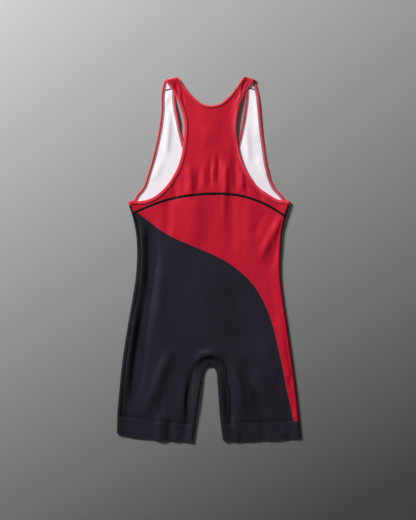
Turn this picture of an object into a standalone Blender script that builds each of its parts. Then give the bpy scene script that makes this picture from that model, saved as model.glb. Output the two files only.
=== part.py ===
"""A wrestling singlet laid flat on its front, seen from its back, with its straps and legs out straight.

Each piece of knit is a thin wall on a sheet. A sheet is a filled plan outline, laid on the lower or the
upper layer, with strips that turn round the folds where the cloth passes from one layer to the other.
Tables and sizes are in millimetres, with x to the right, y to the shoulders and z up. Objects are in
metres.
"""

import math

import bmesh
import bpy
import numpy as np
from mathutils import Vector
from mathutils.geometry import delaunay_2d_cdt

MM = 0.001

# Cloth
WALL = 1.2
BINDING_WALL = 2.0
SEAM_GAP = 0.3
LOW = WALL / 2
HIGH = 2.9
FOLD_RADIUS = 2.4
FOLD_TOP = LOW + 2 * FOLD_RADIUS
FOLD_FALL = 22.0

# Seams, measured from the fold they lie beside
SIDE_SEAM_LEFT = 6.5
SIDE_SEAM_RIGHT = FOLD_RADIUS
SHOULDER_SEAM = 18.0
ARMHOLE_BINDING_BACK = 9.0
ARMHOLE_BINDING_FRONT = 4.8
NECK_BINDING_BACK = 6.6
NECK_BINDING_FRONT = 4.8
BINDING_EDGE = 1.2

# Fineness of the meshes
FOLD_STEPS = 4
FOLD_LEVELS = [math.pi * FOLD_RADIUS * step / FOLD_STEPS for step in range(FOLD_STEPS + 1)]
SHOULDER_SPAN = 40.0
ROW_STEP = 12.0
INNER_ROW_STEP = 8.0
BINDING_STEP = 9.0
FRONT_SPACING = 26.0
BACK_SPACING = 13.0
YOKE_SPACING = 11.0
STRAP_STEP = 6.0
BAND_ROWS = 3
BAND_COLUMNS = 14
WIDE_REACH = 10.0
WIDE_COLUMNS = 3
SEAM_BLEND = 40.0
UNDERARM_BLEND = 30.0
UNDERARM_LEAD = 7.0
UNDERARM_STATIONS = (2.5, 5.5)

# Folds down the sides, x and y: the left from underarm to hem, the right from hem to underarm
SIDE_LEFT = (
    (-176.6, 126.0), (-173.2, 115.5), (-168.0, 100.0), (-159.5, 62.0), (-156.3, 18.0),
    (-159.3, -38.0), (-167.0, -89.0), (-178.6, -157.0), (-189.2, -228.0), (-195.5, -290.0),
    (-200.2, -346.0), (-200.9, -382.0),
)
SIDE_RIGHT = (
    (200.9, -390.0), (197.4, -354.0), (193.2, -310.0), (186.0, -253.0), (178.6, -199.0),
    (169.6, -135.0), (161.7, -82.0), (156.8, -38.0), (157.3, 20.0), (161.5, 66.0), (169.6, 97.0),
    (175.7, 116.5), (179.0, 127.0),
)
# Fold inside the legs, x and y: up the left leg, round the crotch and down the right leg
INNER_LEGS = (
    (-35.0, -399.0), (-29.5, -361.0), (-22.5, -312.0), (-16.5, -276.0), (-12.0, -252.0), (-5.0, -239.0),
    (4.0, -235.5), (12.5, -238.0), (17.5, -247.0), (20.0, -270.0), (22.5, -303.0), (27.0, -359.0),
    (32.3, -396.0),
)
# Reach of the front round the inner leg to its seam: part of the way from band to band, reach
INNER_REACH = (
    (0.0, 12.5), (0.12, 21.0), (0.22, 26.0), (0.32, 25.0), (0.42, 24.5), (0.50, 28.0), (0.57, 22.5),
    (0.64, 19.5), (0.76, 24.0), (0.88, 22.0), (1.0, 19.0),
)
# Shoulder folds, x and y of the neck end and the arm end
SHOULDER_LEFT = ((-66.0, 400.8), (-100.0, 391.7))
SHOULDER_RIGHT = ((75.0, 401.6), (107.0, 393.2))
# Armholes, x and y from the underarm to the shoulder on the back, then from the shoulder down on the front
ARMHOLE_LEFT_BACK = (
    (-152.0, 128.2), (-124.3, 135.5), (-96.1, 158.0), (-76.3, 186.1), (-63.8, 214.3), (-55.6, 256.0),
    (-53.5, 298.3), (-61.4, 332.4), (-75.5, 363.4), (-90.5, 386.5),
)
ARMHOLE_LEFT_FRONT = (
    (-102.6, 372.0), (-104.2, 326.5), (-108.5, 290.0), (-116.0, 252.0), (-125.4, 214.3), (-134.8, 184.0),
    (-144.0, 158.5), (-157.0, 142.5),
)
ARMHOLE_RIGHT_BACK = (
    (156.0, 130.8), (131.3, 143.9), (111.5, 158.0), (89.1, 186.1), (75.2, 214.3), (64.5, 256.0),
    (61.2, 298.3), (67.3, 332.4), (80.5, 364.0), (96.0, 388.0),
)
ARMHOLE_RIGHT_FRONT = (
    (109.8, 368.0), (113.6, 338.0), (117.3, 298.3), (124.3, 242.2), (131.3, 200.2), (139.0, 173.0),
    (148.5, 155.0), (163.0, 140.5),
)
# Neck, x and y: the back from its middle to the shoulder, the front from the shoulder to its middle
NECK_LEFT_BACK = ((7.0, 337.7), (-9.0, 340.2), (-27.0, 352.0), (-48.4, 374.2), (-60.5, 390.5))
NECK_LEFT_FRONT = (
    (-72.6, 371.0), (-72.6, 347.0), (-70.0, 327.0), (-65.0, 304.0), (-58.0, 274.0), (-50.0, 243.0),
    (-36.0, 209.0), (-15.0, 186.0), (7.0, 179.5),
)
NECK_RIGHT_BACK = ((7.0, 337.7), (25.0, 342.2), (44.2, 357.3), (58.3, 374.2), (68.5, 389.0))
NECK_RIGHT_FRONT = (
    (82.0, 371.0), (81.0, 352.0), (78.0, 327.0), (73.7, 298.3), (66.0, 263.0), (54.0, 226.0),
    (36.0, 196.0), (21.0, 184.0), (7.0, 179.5),
)
# Curved seam between yoke and lower back, x and y between the side folds
YOKE_SEAM = (
    (-132.4, 115.9), (-90.4, 131.0), (-42.7, 140.2), (18.0, 144.3), (64.0, 141.0), (100.3, 131.3),
    (134.0, 116.5),
)
YOKE_SEAM_LEFT_Y = 99.5
YOKE_SEAM_RIGHT_Y = 96.5
# Seams above the leg bands and the hems below them, x and y
BAND_SEAM_LEFT = ((-200.0, -343.5), (-150.7, -349.5), (-106.7, -357.0), (-68.0, -361.0), (-29.6, -362.0))
BAND_SEAM_RIGHT = ((27.2, -361.2), (72.0, -360.4), (117.7, -358.5), (160.0, -356.6), (197.5, -355.0))
HEM_LEFT = ((-200.8, -382.0), (-177.1, -389.5), (-123.0, -395.4), (-70.0, -399.6), (-35.2, -399.6))
HEM_RIGHT = ((32.4, -397.5), (62.0, -400.2), (102.3, -399.5), (160.0, -397.2), (200.8, -390.0))

# Broad swellings of the upper layer: x, y, reach along x, reach along y, height
SWELLINGS = (
    (20.0, 186.0, 62.0, 70.0, 2.0),
    (-88.0, 40.0, 70.0, 100.0, 0.8),
    (118.0, 40.0, 50.0, 70.0, 1.6),
    (-130.0, -170.0, 46.0, 160.0, 1.5),
    (60.0, -190.0, 110.0, 90.0, 0.9),
    (110.0, -290.0, 70.0, 70.0, 1.2),
    (-110.0, -300.0, 60.0, 60.0, 1.0),
)
# Largest creases: x and y of the start, x and y of the end, half width, height, negative for a trough
CREASES = (
    (17.5, 232.0, 17.5, 172.0, 8.0, -1.9),
    (2.0, 224.0, 1.0, 156.0, 7.0, -1.5),
    (48.0, 240.0, 58.0, 144.0, 8.0, -1.8),
    (32.0, 216.0, 33.0, 136.0, 8.0, 1.2),
    (68.0, 190.0, 70.0, 150.0, 6.0, 1.0),
    (-52.0, 200.0, -50.0, 150.0, 9.0, 1.2),
    (98.0, 170.0, 113.0, 130.0, 9.0, -1.2),
    (158.0, 92.0, 116.0, 14.0, 11.0, 1.8),
    (157.0, 66.0, 145.0, -10.0, 9.0, -1.5),
    (-54.0, 134.0, -54.0, 56.0, 13.0, 1.2),
    (-136.0, -20.0, -148.0, -175.0, 15.0, -1.5),
    (-148.0, -175.0, -172.0, -272.0, 14.0, -1.3),
    (-96.0, -12.0, -112.0, -118.0, 13.0, 1.3),
    (-120.0, -282.0, -88.0, -216.0, 12.0, 1.6),
    (44.0, -236.0, 78.0, -326.0, 12.0, 1.8),
    (66.0, -230.0, 134.0, -334.0, 13.0, -1.2),
    (115.0, -186.0, 152.0, -266.0, 14.0, 1.4),
)
CREASE_CALM = 12.0

# Colours as linear RGB, and how the knit looks
RED = (0.46, 0.012, 0.035)
BINDING_RED = (0.62, 0.03, 0.055)
NAVY = (0.022, 0.021, 0.032)
ROUGHNESS = 0.62


class Path:
    """A smooth plan curve through a few points, read by the length along it."""

    def __init__(self, points):
        points = np.array(points, dtype=float)
        gaps = np.linalg.norm(np.diff(points, axis=0), axis=1)
        slopes = np.diff(points, axis=0) / gaps[:, None]
        tangents = np.empty_like(points)
        weight = (gaps[:-1] / (gaps[:-1] + gaps[1:]))[:, None]
        tangents[1:-1] = slopes[:-1] * (1 - weight) + slopes[1:] * weight
        tangents[0] = 1.5 * slopes[0] - 0.5 * tangents[1]
        tangents[-1] = 1.5 * slopes[-1] - 0.5 * tangents[-2]
        pieces = []
        for i, gap in enumerate(gaps):
            t = np.linspace(0, 1, 24, endpoint=False)[:, None]
            rise = t * t * (3 - 2 * t)
            pieces.append(
                points[i] * (1 - rise)
                + points[i + 1] * rise
                + tangents[i] * gap * t * (1 - t) ** 2
                - tangents[i + 1] * gap * t * t * (1 - t)
            )
        self.line = np.vstack(pieces + [points[-1:]])
        steps = np.linalg.norm(np.diff(self.line, axis=0), axis=1)
        self.along = np.concatenate(([0.0], np.cumsum(steps)))
        self.length = self.along[-1]

    def point(self, s):
        return np.stack([np.interp(s, self.along, self.line[:, k]) for k in (0, 1)], axis=-1)

    def right(self, s):
        """The unit vector to the right of the direction of travel."""
        s = np.clip(s, 1.0, self.length - 1.0)
        way = self.point(s + 1.0) - self.point(s - 1.0)
        way = way / np.linalg.norm(way, axis=-1, keepdims=True)
        return np.stack([way[..., 1], -way[..., 0]], axis=-1)

    def nearest(self, point):
        every = np.linspace(0, self.length, 20000)
        return every[np.argmin(np.linalg.norm(self.point(every) - np.array(point), axis=1))]


class Shoulder:
    """The straight fold of a strap. The front's plan is opened out past it, so a strap is one ribbon."""

    def __init__(self, neck_end, arm_end):
        neck_end, arm_end = np.array(neck_end), np.array(arm_end)
        way = (neck_end - arm_end) / np.linalg.norm(neck_end - arm_end)
        out = np.array((-way[1], way[0]))
        self.out = out if out[1] > 0 else -out
        self.axis = neck_end - self.out * FOLD_RADIUS
        self.ends = (neck_end, arm_end)

    def beyond(self, plan):
        return (np.asarray(plan) - self.axis) @ self.out

    def open_out(self, points):
        points = np.array(points, dtype=float)
        inside = -self.beyond(points)
        return points + np.outer(2 * inside + math.pi * FOLD_RADIUS, self.out)

    def lines(self, step):
        """Rows of plan points along the fold, one for each step round it."""
        along = (self.ends[1] - self.ends[0]) / np.linalg.norm(self.ends[1] - self.ends[0])
        row = self.axis + np.outer(np.arange(-step, SHOULDER_SPAN, step), along)
        return [row + level * self.out for level in FOLD_LEVELS]

    def lay(self, plan):
        """Places, outward normals and how far each point has turned to the lower layer, from 0 to 1."""
        beyond = self.beyond(plan)
        turned = np.clip(beyond / (math.pi * FOLD_RADIUS), 0, 1)
        angle = turned * math.pi
        foot = plan - np.outer(beyond, self.out)
        under = np.maximum(beyond - math.pi * FOLD_RADIUS, 0)
        across = np.where(beyond < 0, beyond, FOLD_RADIUS * np.sin(angle) - under)
        flat = foot + np.outer(across, self.out)
        height = LOW + FOLD_RADIUS * (1 + np.cos(angle))
        places = np.column_stack((flat, height))
        normals = np.column_stack((np.outer(np.sin(angle), self.out), np.cos(angle)))
        top, top_normals, _ = lay_upper(plan)
        on_top = (beyond < 0)[:, None]
        return np.where(on_top, top, places), np.where(on_top, top_normals, normals), turned


def smooth_step(value):
    value = np.clip(value, 0, 1)
    return value * value * (3 - 2 * value)


def distance(points, start, end):
    """The distance of each point from a straight piece, and how far along it the foot lies, 0 to 1."""
    way = end - start
    share = np.clip(((points - start) @ way) / (way @ way), 0, 1)
    return np.linalg.norm(points - start - np.outer(share, way), axis=1), share


def line_distance(points, line):
    near = np.full(len(points), 1e9)
    for start, end in zip(line[:-1], line[1:]):
        near = np.minimum(near, distance(points, start, end)[0])
    return near


def swelling(plan):
    total = np.zeros(len(plan))
    for x, y, reach_x, reach_y, height in SWELLINGS:
        apart = ((plan[:, 0] - x) / reach_x) ** 2 + ((plan[:, 1] - y) / reach_y) ** 2
        total += height * np.exp(-1.5 * apart)
    for x0, y0, x1, y1, half_width, height in CREASES:
        away, share = distance(plan, np.array((x0, y0)), np.array((x1, y1)))
        total += height * np.exp(-((away / half_width) ** 2)) * (0.4 + 0.6 * np.sin(math.pi * share))
    return np.maximum(total, 0) ** 2 / (np.maximum(total, 0) + 0.3)


def upper_height(plan):
    """The middle of the upper layer: high at the folds and down elsewhere, with its creases."""
    near = np.full(len(plan), 1e9)
    for line in FOLD_LINES:
        near = np.minimum(near, line_distance(plan, line))
    fall = 1 - smooth_step((near - FOLD_RADIUS) / FOLD_FALL)
    calm = smooth_step((near - FOLD_RADIUS - 1.0) / CREASE_CALM)
    return HIGH + (FOLD_TOP - HIGH) * fall + swelling(plan) * calm


def lay_upper(plan):
    """Places and outward normals on the upper layer."""
    plan = np.asarray(plan, dtype=float)
    step = 0.5
    slope_x = (upper_height(plan + (step, 0)) - upper_height(plan - (step, 0))) / (2 * step)
    slope_y = (upper_height(plan + (0, step)) - upper_height(plan - (0, step))) / (2 * step)
    normals = np.column_stack((-slope_x, -slope_y, np.ones(len(plan))))
    normals /= np.linalg.norm(normals, axis=1)[:, None]
    return np.column_stack((plan, upper_height(plan))), normals, np.zeros(len(plan))


def lay_lower(plan):
    """Places and outward normals on the lower layer, whose outside faces down."""
    plan = np.asarray(plan, dtype=float)
    count = len(plan)
    places = np.column_stack((plan, np.full(count, LOW)))
    return places, np.tile((0.0, 0.0, -1.0), (count, 1)), np.ones(count)


def lay_yoke(plan):
    """The yoke lies on the upper layer, and its straps pass over the shoulder folds."""
    plan = np.asarray(plan, dtype=float)
    places, normals, turned = lay_upper(plan)
    for shoulder, on_side in ((LEFT_SHOULDER, plan[:, 0] < 0), (RIGHT_SHOULDER, plan[:, 0] > 0)):
        over = on_side & (shoulder.beyond(plan) > 0)
        if over.any():
            places[over], normals[over], turned[over] = shoulder.lay(plan[over])
    return places, normals, turned


def inside_loop(points, loop):
    """Which points lie inside a closed plan outline."""
    inside = np.zeros(len(points), dtype=bool)
    for start, end in zip(loop, np.roll(loop, -1, axis=0)):
        if start[1] == end[1]:
            continue
        crosses = (points[:, 1] < start[1]) != (points[:, 1] < end[1])
        share = (points[:, 1] - start[1]) / (end[1] - start[1])
        inside ^= crosses & (points[:, 0] < start[0] + share * (end[0] - start[0]))
    return inside


def grid_points(loop, spacing):
    """An even triangular grid of points inside an outline, clear of its edge."""
    low, high = loop.min(axis=0), loop.max(axis=0)
    rows = []
    row_step = spacing * math.sqrt(3) / 2
    for number, y in enumerate(np.arange(low[1], high[1], row_step)):
        x = np.arange(low[0] + (number % 2) * spacing / 2, high[0], spacing)
        rows.append(np.column_stack((x, np.full(len(x), y))))
    points = np.vstack(rows)
    points = points[inside_loop(points, loop)]
    closed = np.vstack((loop, loop[:1]))
    return points[line_distance(points, closed) > 0.55 * spacing]


class Cloth:
    """An open sheet of points with outward normals, and the wall's depth inward and outward there."""

    def __init__(self):
        self.places = np.zeros((0, 3))
        self.normals = np.zeros((0, 3))
        self.depths = np.zeros((0, 2))
        self.faces = []

    def add(self, places, normals, depths=(WALL / 2, WALL / 2)):
        first = len(self.places)
        self.places = np.vstack((self.places, places))
        self.normals = np.vstack((self.normals, normals))
        self.depths = np.vstack((self.depths, np.broadcast_to(depths, (len(places), 2))))
        return list(range(first, first + len(places)))

    def weave(self, rows, closed=False):
        """Joins rows of points with four-sided faces."""
        pairs = list(zip(rows[:-1], rows[1:]))
        if closed:
            pairs.append((rows[-1], rows[0]))
        for one, two in pairs:
            for i in range(len(one) - 1):
                self.faces.append((one[i], one[i + 1], two[i + 1], two[i]))

    def fill(self, plan, spacing, lay, known, lines=()):
        """Fills a plan outline. known gives the numbers of outline points that the sheet has already, and
        lines are rows of plan points that the faces keep to."""
        loop = np.array(plan)
        inner = grid_points(loop, spacing)
        for line in lines:
            inner = inner[line_distance(inner, line) > 0.55 * spacing]
        closed = np.vstack((loop, loop[:1]))
        for line in lines:
            inside = line[inside_loop(line, loop)]
            inner = np.vstack((inner, inside[line_distance(inside, closed) > FOLD_RADIUS]))
        every = np.vstack((loop, inner))
        count = len(loop)
        edges = [(i, (i + 1) % count) for i in range(count)]
        result = delaunay_2d_cdt([Vector(p) for p in every], edges, [], 1, 1e-4)
        new = [i for i in range(len(every)) if i not in known]
        places, normals, _ = lay(every[new])
        numbers = dict(zip(new, self.add(places, normals)))
        numbers.update(known)
        source = [ids[0] for ids in result[3]]
        for face in result[2]:
            self.faces.append(tuple(numbers[source[i]] for i in face))

    def wall(self, name, material):
        """Makes the closed wall as an object."""
        outer = (self.places + self.normals * self.depths[:, 1:]) * MM
        inner = (self.places - self.normals * self.depths[:, :1]) * MM
        count = len(outer)
        mesh = bmesh.new()
        points = [mesh.verts.new(p) for p in np.vstack((outer, inner))]
        sides = {}
        for face in self.faces:
            mesh.faces.new([points[i] for i in face])
            mesh.faces.new([points[i + count] for i in reversed(face)])
            for one, two in zip(face, face[1:] + face[:1]):
                sides[(one, two)] = True
        for one, two in sides:
            if (two, one) not in sides:
                mesh.faces.new([points[i] for i in (two, one, one + count, two + count)])
        bmesh.ops.recalc_face_normals(mesh, faces=mesh.faces)
        data = bpy.data.meshes.new(name)
        mesh.to_mesh(data)
        mesh.free()
        data.shade_smooth()
        data.set_sharp_from_angle(angle=math.radians(50))
        data.materials.append(material)
        piece = bpy.data.objects.new(name, data)
        bpy.context.scene.collection.objects.link(piece)
        return piece


def knit(name, colour):
    material = bpy.data.materials.new(name)
    material.use_nodes = True
    shader = material.node_tree.nodes["Principled BSDF"]
    shader.inputs["Base Color"].default_value = (*colour, 1.0)
    shader.inputs["Roughness"].default_value = ROUGHNESS
    shader.inputs["Metallic"].default_value = 0.0
    material.diffuse_color = (*colour, 1.0)
    return material


def stations(start, end, step):
    return np.linspace(start, end, max(2, round(abs(end - start) / step) + 1))


def turn(fold, at, across, reach):
    """One row round a fold, from the lower layer to the reach of the strip on the upper layer."""
    angles = np.linspace(-math.pi / 2, math.pi / 2, FOLD_STEPS + 1)
    edge = fold.point(at)
    plan = edge + np.outer(FOLD_RADIUS * (np.cos(angles) - 1), across)
    places = np.column_stack((plan, LOW + FOLD_RADIUS * (1 + np.sin(angles))))
    normals = np.column_stack((np.outer(np.cos(angles), across), np.sin(angles)))
    if reach > FOLD_RADIUS:
        columns = WIDE_COLUMNS if reach > WIDE_REACH else 1
        inward = np.linspace(FOLD_RADIUS, reach, columns + 1)[1:]
        top, top_normals, _ = lay_upper(edge - np.outer(inward, across))
        places = np.vstack((places, top))
        normals = np.vstack((normals, top_normals))
    return places, normals


def blended_across(fold, at, ends):
    """The direction across a fold: square to it, and along the seam close to a leg band."""
    across = fold.right(at)
    for end, seam_way in ends:
        share = 1 - smooth_step(abs(at - end) / SEAM_BLEND)
        across = across * (1 - share) + np.array(seam_way) * share
    return across / np.linalg.norm(across)


class Strip:
    """The stretch of a fold between two seams: its stations, its directions across and its reaches."""

    def __init__(self, fold, start, end, reach, ends, step=ROW_STEP):
        self.fold = fold
        self.at = stations(start, end, step)
        share = (self.at - start) / (end - start)
        self.reaches = reach(share)
        self.across = [blended_across(fold, at, ends) for at in self.at]

    def inner_line(self, gap):
        """The plan of the strip's seam on the upper layer, gap further in."""
        edges = self.fold.point(self.at)
        return edges - np.array(self.across) * (self.reaches + gap)[:, None]

    def start_line(self):
        """The plan of the line on the lower layer where the cloth starts to turn."""
        return self.fold.point(self.at) - np.array(self.across) * FOLD_RADIUS

    def weave_into(self, cloth):
        rows = []
        for at, across, reach in zip(self.at, self.across, self.reaches):
            places, normals = turn(self.fold, at, across, reach)
            rows.append(cloth.add(places, normals))
        cloth.weave(rows)
        return [row[0] for row in rows]


def offset(points, gap):
    """An open plan line moved gap to its right."""
    way = np.gradient(points, axis=0)
    way /= np.linalg.norm(way, axis=1)[:, None]
    return points + gap * np.column_stack((way[:, 1], -way[:, 0]))


class Underarm:
    """The place on a side fold where an armhole passes from the upper to the lower layer."""

    def __init__(self, fold, tip, way):
        """tip is the length along the fold, and way is 1 where the fold runs down from it."""
        self.fold = fold
        self.tip = tip
        self.way = way

    def start(self, inward):
        """Plan points where the cloth starts to turn, at distances down from the armhole's edge."""
        at = self.tip + self.way * np.asarray(inward, dtype=float)
        return self.fold.point(at) - self.fold.right(at) * FOLD_RADIUS

    def lead(self):
        """A plan point that makes an armhole's edge meet the fold squarely."""
        return self.start(0.0) - self.fold.right(self.tip) * UNDERARM_LEAD


class Edge:
    """A bound edge over one shoulder: its opened-out path, the side its cloth is on and its widths."""

    def __init__(self, back, front, shoulder, cloth_side, widths, underarm=None):
        points = [*back, *shoulder.open_out(front)]
        if underarm:
            ends = [underarm.start(0.0), underarm.lead()]
            points = [*ends, *points, *shoulder.open_out(ends)[::-1]]
        self.path = Path(points)
        self.shoulder = shoulder
        self.cloth_side = cloth_side
        self.underarm = underarm
        self.ends = widths
        self.at = self.choose_stations()

    def choose_stations(self):
        """Even stations, with closer ones at the underarm and one on each line of the shoulder fold."""
        length = self.path.length
        at = stations(0, length, BINDING_STEP)
        every = np.linspace(0, length, 2000)
        beyond = self.shoulder.beyond(self.plan(every, self.width(every) + SEAM_GAP))
        near_fold = abs(beyond) < 30
        on_fold = np.interp(FOLD_LEVELS, beyond[near_fold], every[near_fold])
        clear = (at < on_fold[0] - BINDING_STEP / 3) | (at > on_fold[-1] + BINDING_STEP / 3)
        at = np.concatenate((at[clear], on_fold))
        if self.underarm:
            close = np.array(UNDERARM_STATIONS)
            at = np.concatenate((at, close, length - close))
        return np.sort(at)

    def width(self, at):
        share = smooth_step((self.shoulder.beyond(self.path.point(at)) + 20) / 40)
        if self.underarm:
            share = share * smooth_step((self.path.length - at) / UNDERARM_BLEND)
        return self.ends[0] * (1 - share) + self.ends[1] * share

    def plan(self, at, inward):
        """Opened-out plan points inward from the edge, by a distance for each."""
        inward = np.broadcast_to(inward, at.shape)
        step = self.path.right(at) * self.cloth_side * inward[:, None]
        if self.underarm:
            tip = self.underarm.start(0.0)
            down = self.underarm.start(inward)
            opened_tip = self.shoulder.open_out([tip])[0]
            shares = (at, self.path.length - at)
            for share, moved in zip(shares, (down - tip, self.shoulder.open_out(down) - opened_tip)):
                share = smooth_step(share / UNDERARM_BLEND)[:, None]
                step = step * share + moved * (1 - share)
        return self.path.point(at) + step

    def sewn_line(self):
        """The plan of the panel's edge beside the binding."""
        return self.plan(self.at, self.width(self.at) + SEAM_GAP)

    def rows(self, cloth):
        """Adds the rows across the binding to a cloth, from the free edge to the sewn edge."""
        columns = []
        for number, inward in enumerate((0.0, BINDING_EDGE, self.width(self.at))):
            places, normals, turned = lay_yoke(self.plan(self.at, inward))
            columns.append((places, normals, binding_depths(turned, number == 0)))
        rows = []
        for i in range(len(self.at)):
            places = [column[0][i] for column in columns]
            normals = [column[1][i] for column in columns]
            depths = [column[2][i] for column in columns]
            rows.append(cloth.add(places, normals, depths))
        return rows


def binding_depths(turned, at_edge):
    """The binding is thicker than the panel on its upper face, whichever layer it lies on."""
    extra = BINDING_WALL - WALL
    turned = np.asarray(turned, dtype=float)
    inward = WALL / 2 + extra * turned
    outward = WALL / 2 + extra * (1 - turned)
    if at_edge:
        trim = 0.45
        inward = inward - trim * turned
        outward = outward - trim * (1 - turned)
    return np.column_stack((inward, outward))


def underarm_rows(cloth, underarm, width):
    """The binding's rows round a side fold at the underarm, from the upper to the lower layer."""
    rows = []
    inward = np.array((0.0, BINDING_EDGE, width))
    across = underarm.fold.right(underarm.tip + underarm.way * inward)
    for angle in np.linspace(math.pi / 2, -math.pi / 2, FOLD_STEPS + 1)[1:-1]:
        plan = underarm.start(inward) + across * FOLD_RADIUS * math.cos(angle)
        places = np.column_stack((plan, np.full(3, LOW + FOLD_RADIUS * (1 + math.sin(angle)))))
        normals = np.column_stack((across * math.cos(angle), np.full(3, math.sin(angle))))
        turned = (math.pi / 2 - angle) / math.pi
        depths = np.vstack([binding_depths([turned], number == 0) for number in range(3)])
        rows.append(cloth.add(places, normals, depths))
    return rows


def make_armhole_binding(name, edge, material):
    cloth = Cloth()
    rows = edge.rows(cloth)
    rows += reversed(underarm_rows(cloth, edge.underarm, ARMHOLE_BINDING_BACK))
    cloth.weave(rows, closed=True)
    cloth.wall(name, material)


def make_neck_binding(material):
    cloth = Cloth()
    left = NECK_LEFT.rows(cloth)
    right = NECK_RIGHT.rows(cloth)
    cloth.weave(left + right[-2:0:-1], closed=True)
    cloth.wall("neck_binding", material)


def make_leg_band(name, seam, hem, material):
    """A flattened ring between the seam above it and its hem."""
    cloth = Cloth()
    upper, marks = band_section(seam, SEAM_GAP / 2)
    lower = band_section(hem, 0.0)[0]
    rows = []
    for share in np.linspace(0, 1, BAND_ROWS + 1):
        places, normals = ring_places(upper * (1 - share) + lower * share, marks)
        row = cloth.add(places, normals)
        rows.append([*row, row[0]])
    cloth.weave(rows)
    cloth.wall(name, material)


def band_section(curve, drop):
    """Plan points of a ring along a curve from fold to fold, and what each is: on the lower layer, turning
    by an angle and a way across the fold, or on the upper layer."""
    path = Path(curve)
    at = np.linspace(FOLD_RADIUS, path.length - FOLD_RADIUS, BAND_COLUMNS + 1)
    flat = path.point(at)
    angles = np.linspace(-math.pi / 2, math.pi / 2, FOLD_STEPS + 1)[1:-1]
    starts = (path.point(0.0), path.point(path.length))
    ways = [starts[0] - flat[0], starts[1] - flat[-1]]
    ways = [way / np.linalg.norm(way) for way in ways]
    inner_turn = flat[-1] + np.outer(FOLD_RADIUS * np.cos(angles), ways[1])
    outer_turn = flat[0] + np.outer(FOLD_RADIUS * np.cos(angles[::-1]), ways[0])
    plan = np.vstack((flat, inner_turn, flat[::-1], outer_turn)) - (0, drop)
    marks = [("low", 0.0, None)] * len(flat)
    marks += [("turn", angle, ways[1]) for angle in angles]
    marks += [("high", 0.0, None)] * len(flat)
    marks += [("turn", angle, ways[0]) for angle in angles[::-1]]
    return plan, marks


def ring_places(plan, marks):
    low, low_normals, _ = lay_lower(plan)
    high, high_normals, _ = lay_upper(plan)
    places, normals = [], []
    for i, (kind, angle, way) in enumerate(marks):
        if kind == "low":
            places.append(low[i])
            normals.append(low_normals[i])
        elif kind == "high":
            places.append(high[i])
            normals.append(high_normals[i])
        else:
            places.append((*plan[i], LOW + FOLD_RADIUS * (1 + math.sin(angle))))
            normals.append((*(np.array(way) * math.cos(angle)), math.sin(angle)))
    return np.array(places), np.array(normals)


def between(curve, first, last, gap):
    """The plan of a band seam between two points near it, moved gap towards the shoulders."""
    path = Path(curve)
    points = path.point(stations(path.nearest(first), path.nearest(last), ROW_STEP)[1:-1])
    return points + (0, gap)


def make_front_panel(material):
    cloth = Cloth()
    half = SEAM_GAP / 2
    left, inner, right = (strip.start_line() for strip in (LEFT_STRIP, INNER_STRIP, RIGHT_STRIP))
    known, loop = {}, []

    def extend(points, numbers=None):
        for i, point in enumerate(points):
            if numbers is not None:
                known[len(loop)] = numbers[i]
            loop.append(point)

    extend(left, LEFT_STRIP.weave_into(cloth))
    extend(between(BAND_SEAM_LEFT, left[-1], inner[0], half))
    extend(inner, INNER_STRIP.weave_into(cloth))
    extend(between(BAND_SEAM_RIGHT, inner[-1], right[0], half))
    extend(right, RIGHT_STRIP.weave_into(cloth))
    extend(front_edge(ARM_RIGHT)[::-1])
    extend(front_edge(NECK_RIGHT)[:-1])
    extend(front_edge(NECK_LEFT)[::-1])
    extend(front_edge(ARM_LEFT))
    cloth.fill(loop, FRONT_SPACING, lay_lower, known)
    cloth.wall("front_panel", material)


def front_edge(edge):
    """The plan, on the lower layer, of the panel's edge by a binding, from the shoulder seam down."""
    shoulder = edge.shoulder
    cut = math.pi * FOLD_RADIUS + SHOULDER_SEAM + SEAM_GAP / 2
    at_seam, points = split_at(edge.sewn_line(), shoulder.beyond, cut)[1:]
    points = np.vstack((at_seam, points))
    inside = shoulder.beyond(points) - math.pi * FOLD_RADIUS
    points = points - np.outer(2 * inside + math.pi * FOLD_RADIUS, shoulder.out)
    if edge.underarm:
        points = points[line_distance(points, edge.underarm.fold.line) > FOLD_RADIUS + 2.0]
    return points


def back_edge(edge):
    """The opened-out plan of the sewn edge of a binding from the back to the shoulder seam."""
    cut = math.pi * FOLD_RADIUS + SHOULDER_SEAM - SEAM_GAP / 2
    points, at_seam = split_at(edge.sewn_line(), edge.shoulder.beyond, cut)[:2]
    points = np.vstack((points, at_seam))
    if edge.underarm:
        reach = (SIDE_SEAM_LEFT, SIDE_SEAM_RIGHT)[edge is ARM_RIGHT] + SEAM_GAP
        line = edge.underarm.fold.line
        corner, points = split_at(points, lambda plan: line_distance(plan, line), reach)[1:]
        points = np.vstack((corner, points))
    return points


def split_at(points, measure, level):
    """The points before a measure of them passes a level, the point at the level and the points after."""
    values = measure(points)
    first = int(np.argmax(values > level))
    share = (level - values[first - 1]) / (values[first] - values[first - 1])
    at_level = points[first - 1] + share * (points[first] - points[first - 1])
    return points[:first], at_level, points[first:]


def yoke_seam(gap):
    """The plan of the curved seam, left to right, moved gap towards the shoulders."""
    left = LEFT_STRIP.inner_line(SEAM_GAP)
    right = RIGHT_STRIP.inner_line(SEAM_GAP)
    left_end = left[np.argmin(abs(left[:, 1] - YOKE_SEAM_LEFT_Y))]
    right_end = right[np.argmin(abs(right[:, 1] - YOKE_SEAM_RIGHT_Y))]
    path = Path([left_end, *YOKE_SEAM, right_end])
    points = path.point(stations(0, path.length, BACK_SPACING))
    return offset(points, -gap)


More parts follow.
